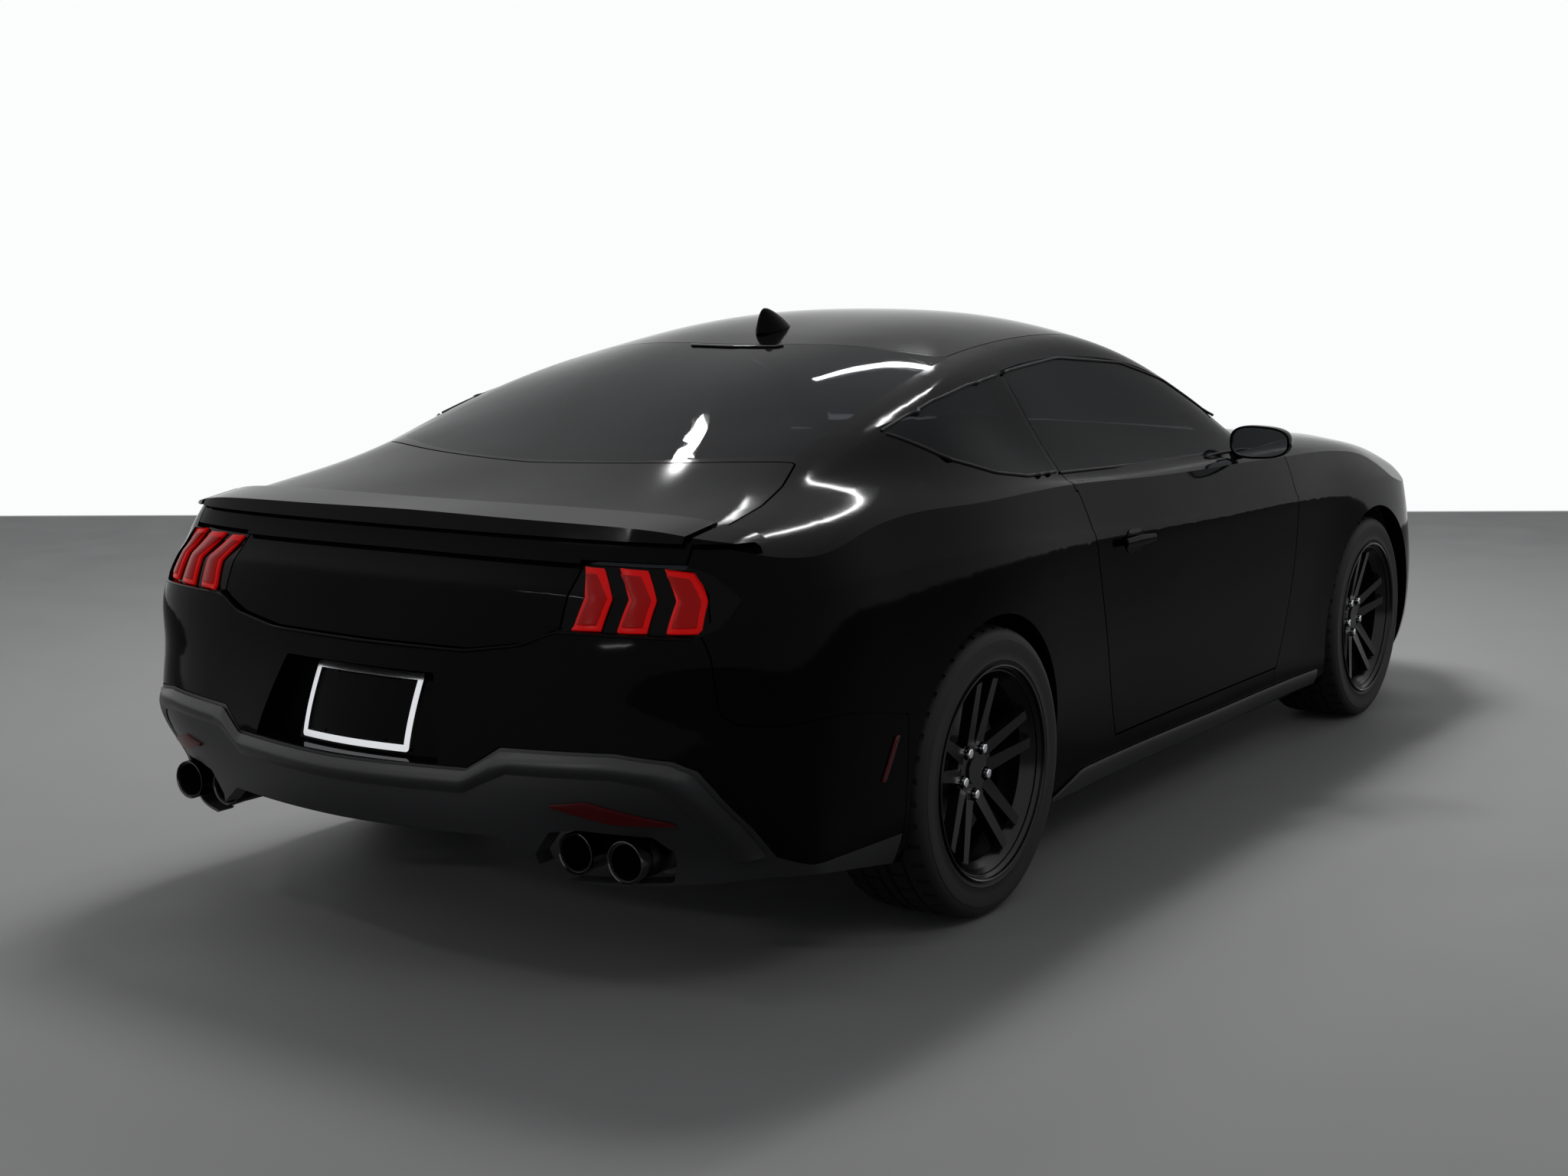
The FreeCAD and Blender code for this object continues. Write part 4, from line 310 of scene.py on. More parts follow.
# The first point of the surface that a line meets, or one close by where it falls into a panel gap
def touch(surface, start, way):
    spot = surface.ray_cast(start, way)[0]
    near = surface.find_nearest(spot or start)[0]
    sideways = way.orthogonal().normalized()
    for turn in range(8):
        if spot and (spot - start).length < (near - start).length + 0.012:
            break
        step = Matrix.Rotation(turn * math.tau / 8, 3, way) @ sideways * 0.009
        other = surface.ray_cast(start + step, way)[0]
        if other and (spot is None or (other - start - step).length < (spot - start).length):
            spot = other - step
    return spot or near


placings = {
    "rear": (lambda y, z: Vector((-3, y, z)), Vector((1, 0, 0))),
    "front": (lambda y, z: Vector((3, y, z)), Vector((-1, 0, 0))),
    "left": (lambda x, z: Vector((x, 2, z)), Vector((0, -1, 0))),
    "plan": (lambda x, y: Vector((x, y, 2.5)), Vector((0, 0, -1))),
}


def useModifier(piece, kind, **settings):
    bpy.context.view_layer.objects.active = piece
    modifier = piece.modifiers.new(kind.title(), kind)
    for name, value in settings.items():
        setattr(modifier, name, value)
    bpy.ops.object.modifier_apply(modifier=modifier.name)


def turnFacesOut(piece, gap=0.00001):
    bpy.ops.object.select_all(action="DESELECT")
    piece.select_set(True)
    bpy.context.view_layer.objects.active = piece
    editAll()
    bpy.ops.mesh.remove_doubles(threshold=gap)
    bpy.ops.mesh.normals_make_consistent(inside=False)
    endEdit()


def finishPiece(piece, name, finish, body, angle=35):
    piece.name = name
    turnFacesOut(piece)
    bpy.ops.object.shade_smooth_by_angle(angle=math.radians(angle))
    piece.data.materials.clear()
    piece.data.materials.append(finishes[finish])
    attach(piece, body)
    piece.select_set(False)
    return piece


def copyOf(piece):
    other = piece.copy()
    other.data = piece.data.copy()
    scene.collection.objects.link(other)
    return other


shellBoth = ("body_shell", "body_shell")
doors = ("left_door", "right_door")


# Finishes a piece on the left, and makes its mirror image on the right
def finishPair(piece, name, finish, angle=35, bodies=shellBoth):
    finishPiece(piece, f"{name}Left", finish, bodies[0], angle)
    other = copyOf(piece)
    other.parent = None
    other.matrix_world = Matrix.Identity(4)
    other.data.transform(Matrix.Diagonal((1, -1, 1, 1)))
    return finishPiece(other, f"{name}Right", finish, bodies[1], angle)


# A panel between two edge lines, pressed onto the car's surface with a given stand-off, then thickened
def pressedPanel(first, second, view, surface, lift, thickness, across=8, along=24, smooth=6, crown=0.0,
                 round=0.0):
    bpy.ops.mesh.primitive_grid_add(x_subdivisions=across, y_subdivisions=along, size=1)
    panel = bpy.context.object
    place, way = placings[view]
    for vertex in panel.data.vertices:
        u, v = vertex.co.x + 0.5, vertex.co.y + 0.5
        a, b = pathPoint(first, v), pathPoint(second, v)
        start = place(*[near + (far - near) * u for near, far in zip(a, b)])
        spot = touch(surface, start, way)
        swell = crown * (1 - (2 * u - 1) ** 2)
        vertex.co = spot - way * (lift + swell)
    if smooth:
        axis = max(range(3), key=lambda index: abs(way[index]))
        useModifier(panel, "SMOOTH", iterations=smooth, use_x=axis == 0, use_y=axis == 1, use_z=axis == 2)
    useModifier(panel, "SOLIDIFY", thickness=thickness, offset=0)
    if round:
        turnFacesOut(panel)
        useModifier(panel, "BEVEL", width=round, segments=2, limit_method="ANGLE",
                    angle_limit=math.radians(50))
    return panel


# A bent round bar through points, as a curve made into a mesh
def bentBar(points, radius, resolution=6):
    curve = bpy.data.curves.new("bar", "CURVE")
    curve.dimensions = "3D"
    curve.bevel_depth = radius
    curve.bevel_resolution = resolution
    curve.use_fill_caps = True
    line = curve.splines.new("NURBS")
    line.points.add(len(points) - 1)
    for index, point in enumerate(points):
        line.points[index].co = (*point, 1)
        line.points[index].radius = 1
    line.order_u = min(4, len(points))
    line.use_endpoint_u = True
    line.resolution_u = 6
    bar = bpy.data.objects.new("bar", curve)
    scene.collection.objects.link(bar)
    bpy.ops.object.select_all(action="DESELECT")
    bar.select_set(True)
    bpy.context.view_layer.objects.active = bar
    bpy.ops.object.convert(target="MESH")
    return bpy.context.object


# Joins pieces into the first one
def joinPieces(pieces):
    bpy.ops.object.select_all(action="DESELECT")
    for piece in pieces:
        piece.select_set(True)
    bpy.context.view_layer.objects.active = pieces[0]
    bpy.ops.object.join()
    return pieces[0]


# A ring form: a profile of (across, radius) spun about the Y axis
def spunRing(profile, steps):
    bpy.ops.mesh.primitive_plane_add(size=1)
    ring = bpy.context.object
    ring.data.clear_geometry()
    corners = [(0, across, radius) for across, radius in profile]
    edges = [(index, index + 1) for index in range(len(profile) - 1)]
    ring.data.from_pydata(corners, edges, [])
    editAll()
    bpy.ops.mesh.spin(steps=steps, angle=math.tau, center=(0, 0, 0), axis=(0, 1, 0))
    bpy.ops.mesh.select_all(action="SELECT")
    bpy.ops.mesh.remove_doubles(threshold=0.00005)
    bpy.ops.mesh.normals_make_consistent(inside=False)
    endEdit()
    return ring


# A block with soft edges between two corners
def softBlock(low, high, round, segments=3):
    bpy.ops.mesh.primitive_cube_add(size=1)
    block = bpy.context.object
    for vertex in block.data.vertices:
        vertex.co = [a + (b - a) * (side + 0.5) for a, b, side in zip(low, high, vertex.co)]
    useModifier(block, "BEVEL", width=round, segments=segments)
    return block


# Follows points over the car's surface, a little off it
def surfaceLine(points, view, surface, lift, steps=6):
    place, way = placings[view]
    count = steps * (len(points) - 1)
    line = []
    for index in range(count + 1):
        start = place(*pathPoint(points, index / count))
        spot = touch(surface, start, way)
        line.append(spot - way * lift)
    return line


tailSurface = surfaceOf("tail_lamps", "decklid", "rear_bumper", "rear_diffuser", "body_side_left")
leftSurface = surfaceOf("body_side_left", "door_left", "front_fenders", "rear_bumper", "front_bumper")
leftGlass = surfaceOf("door_glass_left", "quarter_windows", "body_side_left")

# Tail lamps: three bent bars a side, each a bright rim round a deeper middle
tailLamp = {
    "bars": [
        ([(0.503, 0.892), (0.536, 0.836), (0.526, 0.774)], [(0.547, 0.890), (0.594, 0.838), (0.587, 0.775)]),
        ([(0.580, 0.893), (0.629, 0.836), (0.622, 0.774)], [(0.642, 0.890), (0.683, 0.837), (0.682, 0.775)]),
        ([(0.673, 0.895), (0.719, 0.835), (0.718, 0.775)], [(0.737, 0.888), (0.771, 0.835), (0.778, 0.776)]),
    ],
    "rimWidth": 0.009, "rimLift": 0.003, "rimRound": 0.002,
    "middleLift": 0.0065, "middleRound": 0.0015, "thickness": 0.008, "crown": 0.004,
}


# Draws both edges of a bar inwards
def narrowed(first, second, inset):
    inner, outer = [], []
    for index, (a, b) in enumerate(zip(first, second)):
        drop = inset * (1.2 if index == 0 else -1.2 if index == len(first) - 1 else 0)
        inner.append((a[0] + inset, a[1] - drop))
        outer.append((b[0] - inset, b[1] - drop))
    return inner, outer


for number, (first, second) in enumerate(tailLamp["bars"], 1):
    rim = pressedPanel(first, second, "rear", tailSurface, tailLamp["rimLift"], tailLamp["thickness"],
                       6, 20, 2, tailLamp["crown"], tailLamp["rimRound"])
    finishPair(rim, f"tailBarRim{number}", "redGlow")
    inner, outer = narrowed(first, second, tailLamp["rimWidth"])
    middle = pressedPanel(inner, outer, "rear", tailSurface, tailLamp["middleLift"], tailLamp["thickness"],
                          6, 20, 2, tailLamp["crown"], tailLamp["middleRound"])
    finishPair(middle, f"tailBar{number}", "deepRed")
print("tail lamps ready")

# Lower band: a rounded ledge, red reflectors and side markers, and the lamp panel's lip above it
lowerBand = {
    "ledgeTop": [(0.0, 0.481), (0.335, 0.484), (0.372, 0.506), (0.410, 0.529), (0.649, 0.535),
                 (0.748, 0.522), (0.786, 0.502), (0.804, 0.471), (0.843, 0.382), (0.862, 0.316)],
    "ledgeFoot": [(0.0, 0.437), (0.325, 0.440), (0.372, 0.464), (0.420, 0.486), (0.640, 0.491),
                  (0.716, 0.478), (0.744, 0.458), (0.762, 0.428), (0.798, 0.350), (0.815, 0.306)],
    "ledgeCrown": 0.011, "ledgeLift": 0.001, "ledgeThickness": 0.004,
    "lip": [(0.0, 0.715), (0.280, 0.717), (0.416, 0.738), (0.490, 0.769), (0.554, 0.769), (0.683, 0.769),
            (0.770, 0.767)],
    "lipRadius": 0.003,
    "reflector": ([(0.514, 0.429), (0.589, 0.440), (0.735, 0.397)],
                  [(0.520, 0.424), (0.631, 0.393), (0.741, 0.390)]),
    "marker": ([(-1.676, 0.507), (-1.728, 0.416)], [(-1.692, 0.507), (-1.744, 0.416)]),
    "lensThickness": 0.006, "lensCrown": 0.001, "lensRound": 0.0015,
    "reflectorLift": 0.002, "markerLift": 0.001,
}


def bothSides(points):
    return [(-across, height) for across, height in reversed(points[1:])] + points


ledge = pressedPanel(bothSides(lowerBand["ledgeTop"]), bothSides(lowerBand["ledgeFoot"]), "rear", tailSurface,
                     lowerBand["ledgeLift"], lowerBand["ledgeThickness"], 10, 220, 5, lowerBand["ledgeCrown"])
finishPiece(ledge, "bandLedge", "satinTrim", "body_shell", 60)
lipLine = surfaceLine(bothSides(lowerBand["lip"]), "rear", tailSurface, 0.0, 5)
lip = bentBar(lipLine, lowerBand["lipRadius"], 2)
finishPiece(lip, "lampPanelLip", "glossTrim", "body_shell")
reflector = pressedPanel(*lowerBand["reflector"], "rear", tailSurface, lowerBand["reflectorLift"],
                         lowerBand["lensThickness"], 6, 20, 3, lowerBand["lensCrown"], lowerBand["lensRound"])
# The reflectors' faint red glow from markerRed is painted light, as a reflector is no lamp
finishPair(reflector, "reflector", "markerRed")
marker = pressedPanel(*lowerBand["marker"], "left", leftSurface, lowerBand["markerLift"],
                      lowerBand["lensThickness"], 4, 10, 1, lowerBand["lensCrown"], lowerBand["lensRound"])
finishPair(marker, "sideMarker", "markerRed")

# Bright rings on the four tailpipe tips
tipRing = {"places": [(0.520, 0.314), (0.648, 0.314)], "profile": [
    (-0.040, 0.0430), (0.000, 0.0450), (0.004, 0.0445), (0.0045, 0.0425), (0.002, 0.0405), (-0.055, 0.0395),
    (-0.055, 0.0425), (-0.040, 0.0430)]}
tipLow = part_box("exhaust_system")[0]
for number, (out, height) in enumerate(tipRing["places"], 1):
    ring = spunRing(tipRing["profile"], 48)
    ring.data.transform(Matrix.Translation((tipLow[0] - 0.001, out, height))
                        @ Matrix.Rotation(math.radians(90), 4, "Z"))
    finishPair(ring, f"tipRing{number}", "tipSteel")
print("lower band ready")

# High brake lamp on the roof's rear edge, and the fin antenna
highLamp = {"front": [(-0.932, -0.150), (-0.936, 0.0), (-0.932, 0.150)],
            "back": [(-0.948, -0.135), (-0.954, 0.0), (-0.948, 0.135)],
            "lift": 0.001, "thickness": 0.006, "crown": 0.001, "round": 0.0015}
roofSurface = surfaceOf("roof_panel", "rear_window")
lamp = pressedPanel(highLamp["front"], highLamp["back"], "plan", roofSurface, highLamp["lift"],
                    highLamp["thickness"], 3, 24, 0, highLamp["crown"], highLamp["round"])
finishPiece(lamp, "highBrakeLamp", "smokedLens", "body_shell")

fin = {"front": -0.690, "length": 0.140, "width": 0.066, "height": 0.055, "base": 1.3405, "sunk": 0.012,
       "rake": 0.040, "sweep": 1.3, "shorten": 0.42, "narrow": 0.5, "slope": 0.045}
bpy.ops.mesh.primitive_uv_sphere_add(segments=40, ring_count=28, radius=1)
finPiece = bpy.context.object
for vertex in finPiece.data.vertices:
    rise = max(0.0, vertex.co.z)
    size = 1 - fin["shorten"] * rise
    along = vertex.co.x * size * fin["length"] / 2 - fin["rake"] * rise ** fin["sweep"]
    across = vertex.co.y * (1 - fin["narrow"] * rise) * fin["width"] / 2
    slope = fin["slope"] * (along + fin["length"] / 2)
    lifted = fin["sunk"] * (vertex.co.z > -0.05)
    vertex.co = (fin["front"] - fin["length"] / 2 + along, across,
                 fin["base"] - fin["sunk"] + slope + lifted + fin["height"] * rise)
finishPiece(finPiece, "finAntenna", "paint", "body_shell", 60)

# Door handles with a shallow cup behind them
handle = {
    "grip": ([(-0.362, 0.807), (-0.450, 0.813), (-0.545, 0.811)],
             [(-0.362, 0.789), (-0.450, 0.785), (-0.545, 0.789)]),
    "gripLift": 0.013, "gripThickness": 0.012, "gripCrown": 0.004, "gripRound": 0.005,
    "cup": ([(-0.385, 0.803), (-0.420, 0.829), (-0.490, 0.829), (-0.520, 0.803)],
            [(-0.385, 0.793), (-0.420, 0.768), (-0.490, 0.768), (-0.520, 0.793)]),
    "cupLift": 0.0006, "cupThickness": 0.003,
}
cup = pressedPanel(*handle["cup"], "left", leftSurface, handle["cupLift"], handle["cupThickness"], 10, 24, 4)
finishPair(cup, "handleCup", "glossTrim", bodies=doors)
grip = pressedPanel(*handle["grip"], "left", leftSurface, handle["gripLift"], handle["gripThickness"],
                    8, 30, 6, handle["gripCrown"], handle["gripRound"])
useModifier(grip, "SUBSURF", levels=1, render_levels=1)
finishPair(grip, "doorHandle", "paint", 50, bodies=doors)

# Sill strips between the wheels
sillStrip = {
    "top": [(1.035, 0.226), (0.200, 0.228), (-0.690, 0.234), (-0.850, 0.188)],
    "foot": [(1.045, 0.176), (0.200, 0.172), (-0.690, 0.174), (-0.856, 0.178)],
    "lift": 0.004, "thickness": 0.006, "crown": 0.003, "round": 0.002,
}
strip = pressedPanel(sillStrip["top"], sillStrip["foot"], "left", leftSurface, sillStrip["lift"],
                     sillStrip["thickness"], 6, 60, 4, sillStrip["crown"], sillStrip["round"])
finishPair(strip, "sillStrip", "satinTrim")

# Black rubber round the side glass
glassTrim = {
    "belt": ([(0.585, 0.950), (0.0, 0.973), (-0.742, 0.992)], doors),
    "quarterBelt": ([(-0.760, 0.996), (-0.920, 0.998), (-1.060, 1.016), (-1.220, 1.058), (-1.322, 1.118)],
                    shellBoth),
    "upper": ([(0.430, 1.072), (0.218, 1.184), (0.0, 1.239), (-0.350, 1.262), (-0.700, 1.236)], shellBoth),
    "quarterUpper": ([(-0.740, 1.229), (-0.920, 1.210), (-1.090, 1.182), (-1.220, 1.152), (-1.322, 1.124)],
                     shellBoth),
}
sealRadius, sealLift = 0.004, 0.001
for name, (line, bodies) in glassTrim.items():
    seal = bentBar(surfaceLine(line, "left", leftGlass, sealLift, 10), sealRadius, 2)
    finishPair(seal, f"{name}Seal", "rubber", bodies=bodies)
print("side trim ready")

# Mirrors: a rounded shell open to the rear, with its glass and a foot
mirrorForm = {"rim": 0.006, "depth": 0.007, "fullness": 0.72, "swell": 0.8, "cut": 0.12,
              "noseTaper": 0.12, "outerTaper": 0.16, "rise": 0.004, "inset": 0.012}
low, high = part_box("mirror_left")
middle = [(a + b) / 2 for a, b in zip(low, high)]
inner = low[1] + mirrorForm["inset"]
bpy.ops.mesh.primitive_uv_sphere_add(segments=56, ring_count=36, radius=1, rotation=(0, math.radians(90), 0))
shell = bpy.context.object
bpy.ops.object.transform_apply(location=False, rotation=True, scale=False)
editAll()
bpy.ops.mesh.bisect(plane_co=(-mirrorForm["cut"], 0, 0), plane_no=(1, 0, 0), use_fill=True,
                    clear_inner=True)
endEdit()


def squared(value, power):
    return math.copysign(abs(value) ** power, value)


for vertex in shell.data.vertices:
    x, y, z = vertex.co
    flat = math.hypot(y, z)
    if flat > 1e-6:
        turn = math.atan2(z, y)
        y = squared(math.cos(turn), mirrorForm["fullness"]) * flat ** mirrorForm["swell"]
        z = squared(math.sin(turn), mirrorForm["fullness"]) * flat ** mirrorForm["swell"]
    ahead = (x + mirrorForm["cut"]) / (1 + mirrorForm["cut"])
    noseTaper = 1 - mirrorForm["noseTaper"] * (y + 1) / 2
    outerTaper = 1 - mirrorForm["outerTaper"] * (y + 1) / 2
    vertex.co = (low[0] + 0.003 + ahead * (high[0] - low[0] - 0.004) * noseTaper,
                 (inner + high[1]) / 2 + y * (high[1] - inner) / 2,
                 middle[2] + z * outerTaper * (high[2] - low[2]) / 2 + mirrorForm["rise"] * ahead)
bpy.ops.object.mode_set(mode="EDIT")
bpy.ops.mesh.select_all(action="DESELECT")
bpy.ops.mesh.select_mode(type="FACE")
endEdit()
for face in shell.data.polygons:
    face.select = face.normal.x < -0.9 and len(face.vertices) > 20
bpy.ops.object.mode_set(mode="EDIT")
bpy.ops.mesh.inset(thickness=mirrorForm["rim"])
bpy.ops.mesh.extrude_region_move(TRANSFORM_OT_translate={"value": (mirrorForm["depth"], 0, 0)})
bpy.ops.mesh.separate(type="SELECTED")
endEdit()
glassPlate = [piece for piece in bpy.context.selected_objects if piece is not shell][0]
shell.select_set(False)
useModifier(glassPlate, "SOLIDIFY", thickness=0.002, offset=0)
finishPair(glassPlate, "mirrorGlass", "mirrorFace", bodies=doors)
foot = softBlock((low[0] + 0.03, low[1] - 0.006, low[2] + 0.002),
                 (low[0] + 0.085, inner + 0.022, low[2] + 0.026), 0.008)
useModifier(foot, "SUBSURF", levels=1, render_levels=1)
shell = joinPieces([shell, foot])
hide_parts("mirror_left")
otherShell = finishPair(shell, "mirrorShell", "paint", 45, doors)
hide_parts("mirror_right")
print("mirrors ready")

# Tyres with ribs, cross grooves and a rounded wall, and bright nuts on each wheel
tyre = {"radius": 0.341, "half": 0.1275, "tread": 0.104, "bead": 0.2535, "foot": 0.122, "groove": 0.0055,
        "steps": 168}
tyreHalf = [
    (tyre["foot"] - 0.012, tyre["bead"] - 0.002), (tyre["foot"], tyre["bead"]),
    (tyre["foot"] + 0.002, tyre["bead"] + 0.006),
    (tyre["foot"] + 0.0045, tyre["bead"] + 0.010), (tyre["foot"] + 0.003, tyre["bead"] + 0.014),
    (tyre["half"] - 0.002, tyre["bead"] + 0.030), (tyre["half"], tyre["bead"] + 0.045),
    (tyre["half"] - 0.0005, tyre["bead"] + 0.056), (tyre["half"] - 0.002, tyre["bead"] + 0.0575),
    (tyre["half"] - 0.0035, tyre["bead"] + 0.066), (tyre["half"] - 0.009, tyre["bead"] + 0.0755),
    (tyre["tread"] + 0.008, tyre["radius"] - 0.0075), (tyre["tread"], tyre["radius"] - 0.0042),
    (0.080, tyre["radius"] - 0.0016), (0.066, tyre["radius"] - 0.001), (0.0645, tyre["radius"] - 0.0075),
    (0.0565, tyre["radius"] - 0.0075), (0.055, tyre["radius"] - 0.0006), (0.038, tyre["radius"] - 0.0002),
    (0.021, tyre["radius"]), (0.0195, tyre["radius"] - 0.0075), (0.0105, tyre["radius"] - 0.0075),
    (0.009, tyre["radius"]),
]
tyreProfile = tyreHalf + [(-across, radius) for across, radius in reversed(tyreHalf)]
tyreProfile += [(-tyre["half"] + 0.016, 0.30), (0, 0.318), (tyre["half"] - 0.016, 0.30), tyreHalf[0]]
tyreModel = spunRing(tyreProfile, tyre["steps"])
bpy.ops.object.mode_set(mode="EDIT")
bpy.ops.mesh.select_all(action="DESELECT")
endEdit()
for face in tyreModel.data.polygons:
    spot = face.center
    turn = (math.degrees(math.atan2(spot.x, spot.z)) % 360) * tyre["steps"] / 360
    span = abs(spot.y)
    shoulder = 0.080 < span < tyre["tread"] + 0.007
    rib = 0.022 < span < 0.054
    shift = 2 if spot.y > 0 else 0
    radius = math.hypot(spot.x, spot.z)
    face.select = radius > tyre["radius"] - 0.007 and (
        (shoulder and int(turn + shift) % 4 == 0) or (rib and int(turn + 1 + shift) % 4 == 0))
bpy.ops.object.mode_set(mode="EDIT")
bpy.ops.mesh.extrude_region_shrink_fatten(TRANSFORM_OT_shrink_fatten={"value": -tyre["groove"]})
endEdit()
tyreModel.name = "tyreModel"
turnFacesOut(tyreModel)

# Wheel nuts: five six-sided caps with soft edges
nut = {"circle": 0.05715, "radius": 0.0125, "start": 0.056, "end": 0.0835}
bpy.ops.mesh.primitive_cylinder_add(vertices=6, radius=nut["radius"], depth=nut["end"] - nut["start"])
nutModel = bpy.context.object
useModifier(nutModel, "BEVEL", width=0.0022, segments=3)
nutModel.data.transform(Matrix.Translation((0, (nut["start"] + nut["end"]) / 2, nut["circle"]))
                        @ Matrix.Rotation(math.radians(-90), 4, "X"))
allNuts = [nutModel]
for index in range(5):
    copy = copyOf(nutModel)
    copy.data.transform(Matrix.Rotation(math.radians(72 * index + 36), 4, "Y"))
    allNuts.append(copy)
bpy.data.objects.remove(allNuts.pop(0))
nutRing = joinPieces(allNuts)
turnFacesOut(nutRing)

# Rim lip: a machined step inside the rim's outer edge
lipProfile = [(0.1250, 0.2525), (0.1285, 0.2515), (0.1290, 0.2490), (0.1270, 0.2465), (0.1150, 0.2440),
              (0.1130, 0.2470), (0.1160, 0.2500), (0.1250, 0.2525)]
lipModel = spunRing(lipProfile, 120)

wheelPlaces = {
    "front_left": (1.4655, 0.791, 1), "front_right": (1.4655, -0.791, -1),
    "rear_left": (-1.2545, 0.824, 1), "rear_right": (-1.2545, -0.824, -1),
}
for corner, (x, y, side) in wheelPlaces.items():
    place = Matrix.Translation((x, y, 0.341)) @ Matrix.Rotation(math.radians(90 - 90 * side), 4, "Z")
    for model, name, finish, slotName in ((tyreModel, "tyre", "tyreRubber", "tyre_rubber"),
                                          (nutRing, "nuts", "brightMetal", "bright_frame"),
                                          (lipModel, "rimLip", "wheelBlack", "wheel_finish")):
        copy = copyOf(model)
        copy.data.transform(place)
        ending = corner.title().replace("_", "")
        finishPiece(copy, f"{name}{ending}", finish, f"{corner}_wheel", 30)
        if name == "tyre":
            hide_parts(f"tyre_{corner}")
for model in (tyreModel, nutRing, lipModel):
    bpy.data.objects.remove(model)
print("wheels ready")

# Wheelhouses: a drum with an inner wall over each rear wheel, open below, and the trunk's side wall behind it
house = {"radius": 0.400, "wall": 0.006, "inner": 0.640, "outer": 0.800, "axleHole": 0.150, "foot": 0.260,
         "sideFront": -1.640, "sideBack": -2.038, "sideFoot": 0.470, "sideTop": 0.800}
houseBack, houseTop = house["inner"] - house["wall"], house["radius"] + house["wall"]
drum = spunRing([(house["inner"], house["axleHole"]), (house["inner"], house["radius"]),
                 (house["outer"], house["radius"]), (house["outer"], houseTop), (houseBack, houseTop),
                 (houseBack, house["axleHole"]), (house["inner"], house["axleHole"])], 96)
drum.data.transform(Matrix.Translation((wheelPlaces["rear_left"][0], 0, tyre["radius"])))
editAll()
bpy.ops.mesh.bisect(plane_co=(0, 0, house["foot"]), plane_no=(0, 0, 1), use_fill=True, clear_inner=True)
endEdit()
sideWall = softBlock((house["sideBack"], houseBack, house["sideFoot"]),
                     (house["sideFront"], house["inner"], house["sideTop"]), 0.002)
drum = joinPieces([drum, sideWall])
finishPair(drum, "wheelhouse", "underSteel")

# Wipers at the foot of the windshield
wiper = {
    "arms": [[(0.752, 0.33), (0.700, 0.30), (0.655, 0.02), (0.650, -0.02)],
             [(0.742, -0.28), (0.690, -0.30), (0.640, -0.52), (0.636, -0.55)]],
    "blades": [[(0.688, 0.34), (0.655, 0.02), (0.640, -0.16)],
               [(0.690, -0.22), (0.640, -0.52), (0.610, -0.62)]],
    "armLift": 0.016, "armRadius": 0.005, "bladeLift": 0.006, "bladeRadius": 0.0045,
}
glassFront = surfaceOf("windshield", "front_structure", "front_fenders")
for number, (arm, blade) in enumerate(zip(wiper["arms"], wiper["blades"]), 1):
    armBar = bentBar(surfaceLine(arm, "plan", glassFront, wiper["armLift"]), wiper["armRadius"], 3)
    bladeBar = bentBar(surfaceLine(blade, "plan", glassFront, wiper["bladeLift"]), wiper["bladeRadius"], 2)
    finishPiece(joinPieces([armBar, bladeBar]), f"wiper{number}", "satinTrim", "body_shell")

# Headlamps: two light bars and two round eyes a side, on the lens
lampBar = {
    "edges": [
        ([(0.580, 0.732), (0.700, 0.741), (0.830, 0.726)], [(0.578, 0.724), (0.700, 0.733), (0.828, 0.718)]),
        ([(0.580, 0.676), (0.700, 0.682), (0.860, 0.668)], [(0.582, 0.668), (0.700, 0.674), (0.858, 0.660)]),
    ],
    "lift": 0.001, "thickness": 0.003, "crown": 0.001,
}
noseSurface = surfaceOf("headlamps", "front_fenders", "front_bumper")
for number, (upper, lower) in enumerate(lampBar["edges"], 1):
    bar = pressedPanel(upper, lower, "front", noseSurface, lampBar["lift"], lampBar["thickness"],
                       3, 24, 1, lampBar["crown"])
    finishPair(bar, f"lampBar{number}", "lampWhite")
lampEye = {"outs": (0.645, 0.765), "height": 0.702, "radius": 0.024, "inset": 0.003,
           "shares": (0.35, 1, 0.75)}
for number, out in enumerate(lampEye["outs"], 1):
    bpy.ops.mesh.primitive_uv_sphere_add(segments=32, ring_count=20, radius=lampEye["radius"])
    bulb = bpy.context.object
    spot = noseSurface.ray_cast(Vector((3, out, lampEye["height"])), Vector((-1, 0, 0)))[0]
    place = Matrix.Translation(spot - Vector((lampEye["inset"], 0, 0)))
    bulb.data.transform(place @ Matrix.Diagonal((*lampEye["shares"], 1)))
    finishPair(bulb, f"lampEye{number}", "lampWhite")
print("front ready")


# Seats: each pad starts small and is blown up as cloth, and all but the headrests get piping
seatPads = {
    "cushion": {"low": (-0.135, 0.170, 0.285), "high": (0.355, 0.570, 0.435),
                "round": 0.045, "cell": 0.0085, "cap": 0.024},
    "backrest": {"low": (-0.318, 0.180, 0.315), "high": (-0.165, 0.560, 0.945),
                 "round": 0.050, "cell": 0.0085, "cap": 0.024},
    "headrest": {"low": (-0.388, 0.262, 0.955), "high": (-0.302, 0.478, 1.098),
                 "round": 0.030, "cell": 0.0065, "cap": 0.022},
    "benchCushion": {"low": (-1.035, 0.025, 0.335), "high": (-0.655, 0.585, 0.455),
                     "round": 0.040, "cell": 0.0085, "cap": 0.022},
    "benchBack": {"low": (-1.085, 0.025, 0.415), "high": (-0.995, 0.585, 0.885),
                  "round": 0.030, "cell": 0.0085, "cap": 0.022},
}
cloth = {"pressure": 4.0, "frames": 20, "tension": 15.0, "bending": 0.6, "pull": 0.035, "quickCell": 0.02}
seams = {"at": 0.62, "reach": 0.9, "steps": 24, "radius": 0.0022}


